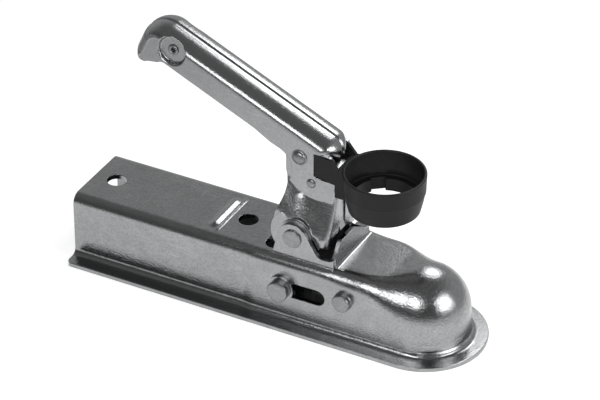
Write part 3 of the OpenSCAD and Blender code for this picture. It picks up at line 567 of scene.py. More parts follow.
@dataclass
class Workshop:
    """The node groups that more than one piece uses."""

    plating: bpy.types.NodeTree = field(default_factory=plating_group)
    scratches: bpy.types.NodeTree = field(default_factory=scratch_group)
    edges: bpy.types.NodeTree = field(default_factory=edge_group)
    rivets: bpy.types.NodeTree = field(default_factory=rivet_tree)
    wires: bpy.types.NodeTree = field(default_factory=wire_tree)
    keyways: bpy.types.NodeTree = field(default_factory=keyway_tree)

    def grow(self, name: str, tree: bpy.types.NodeTree, values: dict[str, object],
             line: Sequence[Point] = ()) -> bpy.types.Object:
        """Makes a plain mesh with one of the Geometry Nodes trees.

        Args:
            name: Name of the piece.
            tree: The tree that makes it.
            values: Values for the tree's named inputs.
            line: Points in millimetres of a line of edges that the tree follows, if it needs one.

        Returns:
            The finished object, without its modifier.
        """
        mesh = bpy.data.meshes.new(name)
        mesh.from_pydata(
            [tuple(c * MM for c in p) for p in line], [(i, i + 1) for i in range(len(line) - 1)], []
        )
        made = bpy.data.objects.new(name, mesh)
        bpy.context.scene.collection.objects.link(made)
        step = made.modifiers.new("grow", "NODES")
        step.node_group = tree
        sockets = {
            item.name: item.identifier
            for item in tree.interface.items_tree
            if item.item_type == "SOCKET" and item.in_out == "INPUT"
        }
        for label, value in values.items():
            step[sockets[label]] = value
        settle(made)
        return made


# Finishes


@dataclass(frozen=True)
class Plated:
    """Zinc plated steel, from bright and smooth to dull and cloudy."""

    slot: Slot
    colour: Point
    dull_colour: Point
    roughness: float
    grain_scale: float = 1500.0
    patch_scale: float = 110.0
    streak_scale: float = 900.0
    grain_depth: float = 0.00003
    streak_depth: float = 0.00002
    patchiness: float = 0.5
    rough_spread: float = 0.12
    scratches: float = 0.4
    speckle: float = 0.12
    edge_radius: float = 0.0005
    edge_strength: float = 0.6

    def material(self, shop: Workshop) -> bpy.types.Material:
        """The finish as a Blender material."""
        made = bpy.data.materials.new(self.slot.value)
        made.use_nodes = True
        made.node_tree.nodes.clear()
        graph = Graph(made.node_tree)
        plating = graph.add("ShaderNodeGroup", node_tree=shop.plating)
        plating.inputs["Grain Scale"].default_value = self.grain_scale
        plating.inputs["Patch Scale"].default_value = self.patch_scale
        plating.inputs["Streak Scale"].default_value = self.streak_scale
        scratch = graph.add("ShaderNodeGroup", node_tree=shop.scratches)
        scratch.inputs["Amount"].default_value = self.scratches
        edges = graph.add("ShaderNodeGroup", node_tree=shop.edges)
        edges.inputs["Radius"].default_value = self.edge_radius
        edges.inputs["Strength"].default_value = self.edge_strength
        grain, patches, streaks = (plating.outputs[k] for k in ("Grain", "Patches", "Streaks"))
        cloudy = graph.math("MULTIPLY", graph.math("MULTIPLY_ADD", grain, 0.4, patches), self.patchiness)
        colour = graph.tint(cloudy, (*self.colour, 1), (*self.dull_colour, 1))
        fleck = graph.math("MULTIPLY", graph.range(grain, 0.35, 0.75, 0.0, 1.0), self.speckle)
        colour = graph.tint(fleck, colour, (0.1, 0.1, 0.105, 1))
        # Scratches and edges are painted lighter: as wear, and at the edges also as a painted edge highlight.
        scratches_and_edge_sheen = graph.math("MAXIMUM", edges.outputs["Edge"], scratch.outputs[0])
        colour = graph.tint(scratches_and_edge_sheen, colour, (0.78, 0.79, 0.8, 1))
        rough = graph.math("MULTIPLY_ADD", patches, self.rough_spread, self.roughness)
        rough = graph.math("MULTIPLY_ADD", grain, self.rough_spread * 0.5, rough)
        height = graph.math(
            "ADD",
            graph.math("MULTIPLY", grain, self.grain_depth),
            graph.math("MULTIPLY", streaks, self.streak_depth),
        )
        height = graph.math("SUBTRACT", height, graph.math("MULTIPLY", scratch.outputs[0], 0.00002))
        raised = graph.add(
            "ShaderNodeBump", {"Height": height, "Normal": edges.outputs["Normal"], "Distance": 1.0}
        )
        surface = graph.add("ShaderNodeBsdfPrincipled", {
            "Base Color": colour, "Metallic": 1.0, "Roughness": rough, "Normal": raised.outputs[0],
        })
        graph.add("ShaderNodeOutputMaterial", {0: surface.outputs[0]})
        return made


@dataclass(frozen=True)
class Cast:
    """Phosphated casting with a sandy skin."""

    slot: Slot
    colour: Point = (0.05, 0.052, 0.055)

    def material(self, shop: Workshop) -> bpy.types.Material:
        """The finish as a Blender material."""
        made = bpy.data.materials.new(self.slot.value)
        made.use_nodes = True
        made.node_tree.nodes.clear()
        graph = Graph(made.node_tree)
        place = graph.add("ShaderNodeTexCoord").outputs["Object"]
        sand = graph.noise(place, 1300.0, 5.0, 0.7)
        patches = graph.range(graph.noise(place, 90.0, 4.0), 0.35, 0.65, 0.0, 1.0)
        edges = graph.add("ShaderNodeGroup", node_tree=shop.edges)
        edges.inputs["Radius"].default_value = 0.0008
        colour = graph.tint(patches, (*self.colour, 1), (0.1, 0.1, 0.1, 1))
        # The edges are painted lighter, as wear and as a painted edge highlight.
        colour = graph.tint(graph.math("MULTIPLY", edges.outputs["Edge"], 0.5), colour, (0.3, 0.3, 0.3, 1))
        raised = graph.add("ShaderNodeBump", {
            "Height": graph.math("MULTIPLY", sand, 0.0002), "Normal": edges.outputs["Normal"], "Distance": 1.0})
        surface = graph.add("ShaderNodeBsdfPrincipled", {
            "Base Color": colour, "Metallic": 0.6, "Roughness": graph.range(patches, 0, 1, 0.5, 0.68),
            "Normal": raised.outputs[0],
        })
        graph.add("ShaderNodeOutputMaterial", {0: surface.outputs[0]})
        return made


@dataclass(frozen=True)
class Moulded:
    """Black moulded plastic with a satin skin, and edges painted lighter as scuffs and as a painted edge highlight."""

    slot: Slot
    colour: Point = (0.011, 0.011, 0.012)
    scuff_and_sheen_colour: Point = (0.07, 0.07, 0.075)
    roughness: float = 0.42

    def material(self, shop: Workshop) -> bpy.types.Material:
        """The finish as a Blender material."""
        made = bpy.data.materials.new(self.slot.value)
        made.use_nodes = True
        made.node_tree.nodes.clear()
        graph = Graph(made.node_tree)
        place = graph.add("ShaderNodeTexCoord").outputs["Object"]
        skin = graph.noise(place, 2600.0, 3.0, 0.6)
        clouds = graph.range(graph.noise(place, 70.0, 4.0), 0.35, 0.65, 0.0, 1.0)
        scratch = graph.add("ShaderNodeGroup", node_tree=shop.scratches)
        scratch.inputs["Amount"].default_value = 0.35
        edges = graph.add("ShaderNodeGroup", node_tree=shop.edges)
        edges.inputs["Radius"].default_value = 0.0006
        colour = graph.tint(clouds, (*self.colour, 1), tuple(c * 1.5 for c in self.colour) + (1,))
        # Scratches are scuffs; the edge share is partly scuffing and partly a painted edge highlight.
        worn_and_edge_sheen = graph.math("MAXIMUM", graph.math("MULTIPLY", edges.outputs["Edge"], 0.7), scratch.outputs[0])
        colour = graph.tint(worn_and_edge_sheen, colour, (*self.scuff_and_sheen_colour, 1))
        raised = graph.add("ShaderNodeBump", {
            "Height": graph.math("MULTIPLY", skin, 0.00002), "Normal": edges.outputs["Normal"], "Distance": 1.0})
        surface = graph.add("ShaderNodeBsdfPrincipled", {
            "Base Color": colour, "Roughness": graph.range(clouds, 0, 1, self.roughness, self.roughness + 0.1),
            "Normal": raised.outputs[0], "Specular IOR Level": 0.25,
        })
        graph.add("ShaderNodeOutputMaterial", {0: surface.outputs[0]})
        return made


FINISHES = (
    Plated(Slot.ZINC_BODY, (0.4, 0.405, 0.41), (0.31, 0.315, 0.32), 0.12, grain_scale=750.0, patch_scale=95.0,
           grain_depth=0.00006, streak_depth=0.00001, rough_spread=0.05, speckle=0.17),
    Plated(Slot.ZINC_LEVER, (0.39, 0.395, 0.4), (0.32, 0.325, 0.33), 0.15, grain_scale=800.0, patch_scale=130.0,
           grain_depth=0.00005, streak_depth=0.000006, rough_spread=0.05, patchiness=0.35),
    Plated(Slot.RIVET, (0.33, 0.335, 0.345), (0.22, 0.225, 0.23), 0.22, grain_scale=1900.0,
           grain_depth=0.00003, streak_depth=0.0, rough_spread=0.1, edge_strength=0.4),
    Plated(Slot.INNER, (0.45, 0.455, 0.46), (0.3, 0.305, 0.31), 0.3, patchiness=0.6),
    Plated(Slot.SPRING, (0.3, 0.305, 0.31), (0.2, 0.2, 0.21), 0.34, grain_depth=0.00001,
           streak_depth=0.00001, scratches=0.2, edge_strength=0.0),
    Cast(Slot.JAW),
    Moulded(Slot.PLASTIC),
)


@dataclass
class Dresser:
    """Gives each piece its finish and its place in the frame."""

    shop: Workshop
    materials: dict[Slot, bpy.types.Material] = field(default_factory=dict)

    def __post_init__(self) -> None:
        """Makes every finish once."""
        for finish in FINISHES:
            self.materials[finish.slot] = finish.material(self.shop)

    def piece(self, made: bpy.types.Object, slot: Slot, body: Body, *nodes: str) -> None:
        """Finishes a modelled piece that stands for nodes of the frame.

        Args:
            made: The piece.
            slot: Its material slot.
            body: The body that it rides on.
            *nodes: The nodes that it replaces.
        """
        made.data.materials.clear()
        made.data.materials.append(self.materials[slot])
        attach(made, body.value)
        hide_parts(*nodes)
        LOG.info("%s: %d faces, rides on %s", made.name, len(made.data.polygons), body.value)

    def node(self, name: str, slot: Slot) -> None:
        """Gives a node of the frame a finish."""
        made = frame["nodes"][name]
        if not made.material_slots:
            made.data.materials.append(None)
        for place in made.material_slots:
            place.material = self.materials[slot]
        LOG.info("%s: node of the frame in %s", name, slot.value)


# The frame's own places, in millimetres


def box(node: str) -> tuple[Vector, Vector]:
    """Lowest and highest corner of a node, in millimetres."""
    low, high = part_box(node)
    return low / MM, high / MM


def middle(node: str) -> Flat:
    """Centre of a node in X and Z, in millimetres."""
    low, high = box(node)
    return (low.x + high.x) / 2, (low.z + high.z) / 2


def joint_at(name: str) -> Flat:
    """Place of a joint's axis in X and Z, in millimetres."""
    row = next(j for j in frame["joints"] if j["name"] == name)
    return row["pos_m"][0] / MM, row["pos_m"][2] / MM


PIVOT = joint_at("lever_swing")
CATCH_PIN = joint_at("catch_swing")
SLIDE_PIN = middle("slide_pin")
FRONT_RIVET = middle("front_rivet")
HANDLE_RIVET = middle("handle_rivet_right")
END_RIVET = middle("grip_end_rivet")


@dataclass
class BodyShell:
    """The pressed body: channel, domed nose, flange, ears, lip and rib."""

    sheet: float = 3.2
    nose_r: float = 29.3
    rear_half: float = 28.5
    plate_z: float = 26.3
    flange_bend: float = 4.0
    top_bend: float = 6.5
    rim_round: float = 0.6
    kink: Flat = (-113.0, -104.0)
    dome_start: float = -35.0
    shoulder: tuple[float, float, float] = (-62.0, -36.0, 10.5)
    front_lift: float = 0.6
    ear_in: float = 20.8
    ear_r: float = 10.0
    ear_cove: float = 2.5
    collar: float = 5.1
    notch_r: float = 6.0
    bolts: tuple[float, float] = (-123.6, -219.6)
    bolt_r: float = 6.25
    slide_travel: float = 24.8
    slot_r: float = 5.3
    rib: tuple[Flat, ...] = (
        (-145.2, 0.0), (-144.2, 0.1), (-143.2, 0.4), (-142.2, 0.85), (-141.3, 1.3), (-140.6, 1.58),
        (-140.1, 1.65), (-139.6, 1.58), (-139.1, 1.4), (-138.2, 1.06), (-137.4, 0.78), (-137.0, 0.64),
        (-136.8, 0.5), (-136.55, 0.55), (-136.3, 0.56), (-134.4, 0.14), (-134.1, -0.04), (-133.7, 0.0))
    rib_step: tuple[Flat, ...] = (
        (-137.4, 0.0), (-136.8, 0.3), (-136.3, 0.5), (-134.4, 0.14), (-134.1, -0.04), (-133.7, 0.0))
    lip_lean: float = 20.0
    lip_fold: float = 2.0
    lip_outline: tuple[Flat, ...] = ((4.2, 22.4), (4.9, 22.0), (6.3, 19.5), (11.9, 9.6), (12.3, 8.4))
    nose_steps: int = 72

    def __post_init__(self) -> None:
        """Takes the outer sizes from the frame."""
        low, high = box("body_shell")
        self.rear_x = low.x
        self.flange_half = high.y
        self.flange_z = low.z
        self.opening = (PIVOT[0] - 21.5, PIVOT[0] + 30.5)
        self.front_z = self.plate_z + self.front_lift

    def rib_height(self, x: float, y: float) -> float:
        """Height of the pressed rib over the plate."""
        step = lookup(x, self.rib_step)
        crest = (lookup(x, self.rib) - step) * blend(abs(y), 13.5, 18.5, 1.0, 0.0)
        return crest + step * blend(abs(y), 18.5, 20.5, 1.0, 0.0)

    def ridge(self, z: float, angle: float) -> float:
        """How far the drawing ridges stand out at the foot of the nose."""
        window = blend(angle, -84.0, -62.0, 0.0, 1.0) * blend(angle, -14.0, 8.0, 1.0, 0.0)
        foot = self.flange_z + self.sheet
        steps = 0.75 * bump(z - foot - 2.4, 0.8) + 0.6 * bump(z - foot - 4.6, 0.7) + 0.3 * bump(z - foot - 6.6, 0.7)
        return window * steps

    def half_section(self, x: float, angle: float | None = None) -> tuple[list[Flat], list[Flat]]:
        """Outer and inner side of half the section, from the flange to the middle of the top.

        Args:
            x: Place along the body.
            angle: Direction round the nose in degrees, or None along the channel.

        Returns:
            Two lists of the same length, of distance from the middle and height.
        """
        w = blend(x, *self.kink, self.rear_half, self.nose_r)
        if x < self.dome_start:
            b = blend(x, self.opening[1] - 13, self.opening[1], self.plate_z, self.front_z)
        else:
            b = blend(x, self.dome_start / 2, 0, self.front_z, self.nose_r)
        r = blend(x, *self.shoulder[:2], self.top_bend, self.shoulder[2])
        r += (self.nose_r - 1 - r) * late(1 - x / self.dome_start)
        s, f, e = self.sheet, self.flange_bend, self.rim_round
        low, top, edge = self.flange_z, self.flange_z + s, self.flange_half
        outer = arc((edge - e, top - e), e, 0, 90, 3)
        inner = arc((edge - e, low + e), e, 0, -90, 3)
        for t in (0.5,):
            y = (edge - e) * (1 - t) + (w + f) * t
            outer.append((y, top))
            inner.append((y, low))
        outer += arc((w + f, top + f), f, 270, 180, 10)
        inner += arc((w + f, top + f), f + s, 270, 180, 10)
        for z in spread(top + f, b - r, 14)[1:-1]:
            outer.append((w, z))
            inner.append((w - s, z))
        outer += arc((w - r, b - r), r, 0, 90, 16)
        inner += arc((w - r, b - r), r - s, 0, 90, 16)
        for t in spread(0, 1, 18)[1:]:
            outer.append(((w - r) * (1 - t), b))
            inner.append(((w - r) * (1 - t), b - s))
        if angle is not None:
            outer = [(y + self.ridge(z, angle) * (y < edge - 6), z) for y, z in outer]
        return outer, inner

    def stations(self) -> list[float]:
        """Places along the channel where the section is worked out."""
        marks = [self.rear_x, -215.0, -180.0]
        marks += spread(self.rib[0][0] - 0.8, self.rib_step[-1][0] + 0.2, 52)
        marks += [-128.0, -118.0]
        marks += spread(self.kink[0], self.kink[1], 10)
        marks += spread(-98.0, self.dome_start, 16)
        marks += spread(self.dome_start, 0, 40)[1:]
        return marks

    def skin(self) -> bpy.types.Object:
        """The sheet of the body before anything is cut or bent up."""
        marks = self.stations()
        points: list[list[Point]] = [[], []]
        for x in marks:
            for side, half in enumerate(self.half_section(x)):
                row = [(-y, z) for y, z in half] + [(y, z) for y, z in reversed(half[:-1])]
                points[side] += [(x, y, z + self.rib_height(x, y) * (z > self.plate_z - 4)) for y, z in row]
        m = len(self.half_section(0)[0]) - 1
        row_n, last = 2 * m + 1, len(marks) - 1
        for k in range(1, self.nose_steps):
            angle = -90 + 180 * k / self.nose_steps
            for side, half in enumerate(self.half_section(0, angle)):
                points[side] += [(*polar((0, 0), y, angle), z) for y, z in half[:-1]]

        def spoke(k: int, j: int) -> int:
            """Index of a point on spoke k around the nose."""
            if j == m:
                return last * row_n + m
            if k == 0:
                return last * row_n + j
            if k == self.nose_steps:
                return last * row_n + 2 * m - j
            return (last + 1) * row_n + (k - 1) * m + j

        grid = [
            (i * row_n + j, i * row_n + j + 1, (i + 1) * row_n + j + 1, (i + 1) * row_n + j)
            for i in range(last)
            for j in range(2 * m)
        ]
        for k in range(self.nose_steps):
            grid += [(spoke(k, j), spoke(k, j + 1), spoke(k + 1, j + 1), spoke(k + 1, j)) for j in range(m - 1)]
            grid.append((spoke(k, m - 1), spoke(k, m), spoke(k + 1, m - 1)))
        count = len(points[0])
        faces = grid + [tuple(count + v for v in reversed(f)) for f in grid]
        rim = [i * row_n for i in range(last + 1)] + [spoke(k, 0) for k in range(1, self.nose_steps)]
        rim += [i * row_n + 2 * m for i in range(last, -1, -1)] + [j for j in range(2 * m - 1, 0, -1)]
        for a, b in zip(rim, rim[1:] + rim[:1]):
            faces.append((a, b, b + count, a + count))
        return closed_mesh("pressed_body", points[0] + points[1], faces)

    def ear_outline(self) -> list[Flat]:
        """Side view of an ear: a round eye, its foot, and the low collar that runs on to the lip."""
        x, foot, fillet, n = PIVOT[0], self.plate_z - 0.7, 4.0, self.notch_r
        low = foot + self.collar + n
        points: list[Flat] = [(self.opening[0] - 4.5, foot - 2), (self.opening[0] - 4.5, foot)]
        points += arc((x - self.ear_r - 7.3, foot + fillet), fillet, -90, -15, 10)
        points += arc(PIVOT, self.ear_r, 165, 31, 40)
        points += arc((x + self.ear_r + 10.8, low), n, 211, 270, 12)
        points += arc((x + self.ear_r + 14.0, low), n, 270, 320, 10)
        return points + [(x + self.ear_r + 18.6, foot - 2)]

    def ear(self, side: int) -> bpy.types.Object:
        """One ear with the hollow bend at its foot, cut to its outline."""
        outer, cove = self.ear_in + self.sheet, self.ear_cove
        bend = (self.nose_r - self.top_bend, self.plate_z - self.top_bend)
        gap = outer + cove - bend[0]
        centre = (outer + cove, bend[1] + math.sqrt((self.top_bend + cove) ** 2 - gap ** 2))
        end = math.degrees(math.atan2(bend[1] - centre[1], bend[0] - centre[0]))
        section = [(self.ear_in - 0.3, self.plate_z - 1.8), (self.ear_in - 0.3, PIVOT[1] + 20), (outer, PIVOT[1] + 20)]
        section += arc(centre, cove, 180, 360 + end, 8)
        section += [(outer + cove * 0.6, self.plate_z - 2.4)]
        if side < 0:
            section = [(-y, z) for y, z in section]
        made = along("ear", section, self.opening[0] - 8, self.opening[1] + 4)
        return shape(made, across("outline", self.ear_outline(), -60, 60), Shaping.KEEP)

    def opening_outline(self) -> list[Flat]:
        """The opening between the ears, round at its rear corners."""
        x0, x1, y, r = self.opening[0] - 1.6, self.opening[1], self.ear_in, 6.0
        rear = arc((x0 + r, -y + r), r, 180, 270, 10)
        return rear + [(x1, -y), (x1, y)] + [(x, -yy) for x, yy in reversed(rear)]

    def lip(self) -> bpy.types.Object:
        """The lip that is bent up at the front edge of the opening."""
        lean, r, s = math.radians(self.lip_lean), self.lip_fold, self.sheet
        away = (-math.sin(lean), math.cos(lean))
        foot = (self.opening[1], self.plate_z)
        rise = self.front_z + r - foot[1]
        centre = (foot[0] + (r - rise * math.sin(lean)) / math.cos(lean), self.front_z + r)
        face = [(centre[0] + 3.5, self.front_z)] + arc(centre, r, 270, 180 + self.lip_lean, 8)
        back = [(centre[0] + 3.5, self.front_z - s)] + arc(centre, r + s, 270, 180 + self.lip_lean, 8)
        widths = [self.lip_outline[0][1]] * len(face)
        for h, half in self.lip_outline:
            x, z = foot[0] + away[0] * h, foot[1] + away[1] * h
            face.append((x, z))
            back.append((x - s * math.cos(lean), z - s * math.sin(lean)))
            widths.append(half)
        rows = [[[(x, half * u, z) for u in spread(-1, 1, 8)] for (x, z), half in zip(line, widths)]
                for line in (face, back)]
        return bent_sheet("lip", rows[0], rows[1])

    def hole(self, x: float) -> bpy.types.Object:
        """The cutter for a bolt hole, flared where the punch went in."""
        top = self.plate_z
        profile = [(top - 12, self.bolt_r), (top - 0.5, self.bolt_r), (top - 0.12, self.bolt_r + 0.16),
                   (top, self.bolt_r + 0.5), (top + 4, self.bolt_r + 1.2)]
        return spun("hole", (x, 0), profile, 64)

    def side_hole(self, at: Flat, radius: float, length: float = 0.0) -> list[bpy.types.Object]:
        """Cutters through both side walls for a round hole or a slot, flared outside."""
        wall = self.nose_r
        made = []
        for side in (-1, 1):
            rings = []
            for y, extra in ((wall - 8, 0.0), (wall - 0.5, 0.0), (wall - 0.12, 0.14), (wall + 0.02, 0.45), (wall + 6, 0.9)):
                r = radius + extra
                outline = arc((at[0] + length, at[1]), r, -90, 90, 20) + arc(at, r, 90, 270, 20)
                rings.append([(x, side * y, z) for x, z in outline])
            made.append(loft("slot", rings))
        return made

    def corner(self, side: int) -> bpy.types.Object:
        """The cutter that rounds a rear corner of the flange."""
        r, x, y = 4.0, self.rear_x, self.flange_half
        outline = [(x - 1, y + 1)] + [(x - 1, y - r)] + arc((x + r, y - r), r, 180, 90, 10) + [(x + r, y + 1)]
        return upright("corner", [(px, side * py) for px, py in outline], self.flange_z - 1, self.flange_z + 4.4)

    def build(self, dresser: Dresser) -> None:
        """Makes the body and sets it in the frame."""
        body = self.skin()
        for side in (-1, 1):
            shape(body, self.ear(side), Shaping.JOIN)
        shape(body, upright("opening", self.opening_outline(), 15, 60), Shaping.CUT)
        shape(body, self.lip(), Shaping.JOIN)
        for x in self.bolts:
            shape(body, self.hole(x), Shaping.CUT)
        cutters = self.side_hole(SLIDE_PIN, self.slot_r, self.slide_travel) + self.side_hole(FRONT_RIVET, 4.05)
        cutters += [self.corner(-1), self.corner(1)]
        cutters.append(turned("eyes", PIVOT, [(-30, 5.05), (30, 5.05)]))
        for cutter in cutters:
            shape(body, cutter, Shaping.CUT)
        polish(body)
        dresser.piece(body, Slot.ZINC_BODY, Body.HEAD, "body_shell")


@dataclass
class HandleGrip:
    """The rolled sheet grip: a crown with a groove, flat sides, a dish and a hooked tip."""

    slope: float = 24.2
    sheet: float = 2.0
    half: float = 12.2
    bulge: float = 1.4
    crown_rise: float = 67.3
    edge_rise: float = 45.6
    reach: float = 147.0
    groove: float = 0.75
    roll: float = 7.0
    ridge_at: float = 1.6
    front_r: float = 11.5
    front_half: float = 7.4
    tip_r: float = 16.0
    hook_r: float = 7.5
    dish_r: float = 10.3
    dish_depth: float = 2.6

    def __post_init__(self) -> None:
        """Works out the places that the outlines share."""
        self.hook_at = (self.hook_r - self.reach, self.crown_rise - self.tip_r - 9.4)
        self.tip_at = (self.tip_r - self.reach, self.crown_rise - self.tip_r)
        self.front_at = (-12.8, self.crown_rise - self.front_r)
        self.dish = self.local(END_RIVET)

    def local(self, at: Flat) -> Flat:
        """A place in the side view, measured along and off the grip from the pivot."""
        c, s = math.cos(math.radians(self.slope)), math.sin(math.radians(self.slope))
        x, z = at[0] - PIVOT[0], at[1] - PIVOT[1]
        return x * c - z * s, x * s + z * c

    def world(self, at: Flat) -> Flat:
        """The place in X and Z of a point that is measured along the grip."""
        c, s = math.cos(math.radians(self.slope)), math.sin(math.radians(self.slope))
        return PIVOT[0] + at[0] * c + at[1] * s, PIVOT[1] - at[0] * s + at[1] * c

    def roll_at(self, angle: float) -> float:
        """Depth of the crown's round side, which grows smaller round the hook."""
        return blend(angle, 180, 262, self.roll, 3.0)

    def stations(self) -> list[tuple[Flat, float, float]]:
        """Place, direction of the outside in degrees, and half width of each station along the crown."""
        full, flush = self.half + self.bulge, self.half + 0.1
        rows = []
        for a in spread(-12, 90, 20):
            rows.append((polar(self.front_at, self.front_r, a), a, blend(a, -12, 84, self.front_half, full)))
        for x in spread(self.front_at[0], self.tip_at[0], 8)[1:-1]:
            rows.append(((x, self.crown_rise), 90, full))
        for a in spread(90, 180, 24):
            rows.append((polar(self.tip_at, self.tip_r, a), a, blend(a, 95, 160, full, flush)))
        for a in spread(180, 300, 24):
            rows.append((polar(self.hook_at, self.hook_r, a), a, flush))
        return rows

    def half_section(self, w: float, angle: float, inset: float) -> list[Flat]:
        """Half of the crown's section, as pairs of distance from the middle and depth."""
        deep = self.groove * blend(angle, 150, 185, 1, 0) + inset
        roll, reach = self.roll_at(angle), w - self.ridge_at
        row = [(0.0, deep), (0.7, deep)]
        row += [(y, inset + (deep - inset) * (1 - ease((y - 0.9) / 1.5))) for y in spread(1.0, 2.2, 5)]
        first = math.degrees(math.asin(0.9 / reach))
        for a in spread(first, 90, 16):
            along_y, up = polar((0, 0), 1, 90 - a)
            row.append((self.ridge_at + (reach - inset) * along_y, roll - (roll - inset) * up))
        foot = roll + (blend(angle, 90, 180, 2.4, 0.6) if angle > 90 else blend(angle, 0, 90, 0.8, 2.4))
        tuck = max(0.0, w - self.half + 0.7)
        for t in spread(0, 1, 6)[1:]:
            row.append((w - inset - tuck * ease(t) * (1 if inset == 0 else 0.55), roll + (foot - roll) * t))
        return row

    def crown(self) -> bpy.types.Object:
        """The rolled crown of the grip."""
        sides: list[list[Ring]] = [[], []]
        for at, angle, w in self.stations():
            c, s = polar((0, 0), 1, angle)
            for k, inset in enumerate((0.0, self.sheet)):
                half = self.half_section(w, angle, inset)
                row = [(-y, d) for y, d in reversed(half[1:])] + half
                ring = []
                for y, d in row:
                    x, z = self.world((at[0] - d * c, at[1] - d * s))
                    ring.append((x, y, z))
                sides[k].append(ring)
        return bent_sheet("grip_sheet", sides[0], sides[1])

    def flange_outline(self) -> list[Flat]:
        """Side view of a flat side, with the part that holds the bracket."""
        z, seat = self.edge_rise, 0.85
        line: list[Flat] = [(-43, z - 1.8), (-56, z - 0.2), (-124.5, z)]
        line += arc((-124.5, z - 5), 5, 90, 150, 8)
        line += [polar(self.hook_at, self.hook_r - seat * self.roll_at(a), a) for a in spread(322, 180, 14)]
        line += arc(self.tip_at, self.tip_r - seat * self.roll, 180, 90, 12)
        line += [(self.front_at[0], self.crown_rise - seat * self.roll), (-4.2, 61.0)]
        line += [(-10.3, 58.9), (-15.7, 56.2), (-9.1, 41.2), (-2.2, 42.9), (4.0, 45.4), (5.2, 45.4), (9.4, 31.3)]
        line += arc((-9.5, 50.3), 25.2, -56, -113, 14)
        line += arc((-36.2, 29.3), 14.8, -6, 98, 14)
        return [self.world(p) for p in line]

    def dish_back(self, side: int) -> bpy.types.Object:
        """The raised back of the dish, inside the grip."""
        y, r = self.half + 0.2, self.dish_r
        profile = [(y, r + 0.3), (y - self.sheet, r + 0.3),
                   (y - self.sheet - 0.8, r), (y - self.dish_depth - self.sheet, r - 0.9)]
        return turned("dish_back", END_RIVET, [(side * a, b) for a, b in profile], 72)

    def under_crown(self) -> bpy.types.Object:
        """The room under the crown at the dish, which the raised back must stay in."""
        half = self.half_section(self.half + self.bulge, 90, 0.0)
        row = [(-y, d) for y, d in reversed(half[1:])] + half
        row = [(y, self.crown_rise - d - 0.6) for y, d in row]
        row += [(self.half + 3, self.edge_rise - 3), (-self.half - 3, self.edge_rise - 3)]
        rings = []
        for x in (self.dish[0] - 14, self.dish[0] + 14):
            rings.append([(self.world((x, rise))[0], y, self.world((x, rise))[1]) for y, rise in row])
        return loft("under_crown", rings)

    def dish_cut(self, side: int) -> bpy.types.Object:
        """The cutter for the dish, with a flat floor, a steep wall and a rounded rim."""
        floor, r = self.half + 0.2 - self.dish_depth, self.dish_r
        wall = ((0.0, -2.3), (0.04, -1.9), (0.2, -1.55), (0.5, -1.3), (1.1, -1.15), (1.6, -1.0), (2.0, -0.8),
                (2.3, -0.5), (2.5, -0.2), (2.62, 0.1), (4.4, 0.5), (8.0, 0.5))
        return turned("dish_cut", END_RIVET, [(side * (floor + a), r + b) for a, b in wall], 96)

    def build(self, dresser: Dresser) -> None:
        """Makes the grip and sets it in the frame."""
        grip = self.crown()
        inner = self.half - self.sheet
        for side in (-1, 1):
            shape(grip, across("side", self.flange_outline(), side * inner, side * self.half), Shaping.JOIN)
            shape(grip, shape(self.dish_back(side), self.under_crown(), Shaping.KEEP), Shaping.JOIN)
        for side in (-1, 1):
            shape(grip, self.dish_cut(side), Shaping.CUT)
        for at, r in ((END_RIVET, 2.65), (HANDLE_RIVET, 3.25), (CATCH_PIN, 2.55)):
            shape(grip, turned("rivet_hole", at, [(-20, r), (20, r)], 48), Shaping.CUT)
        polish(grip, 38)
        dresser.piece(grip, Slot.ZINC_LEVER, Body.LEVER, "handle_grip")


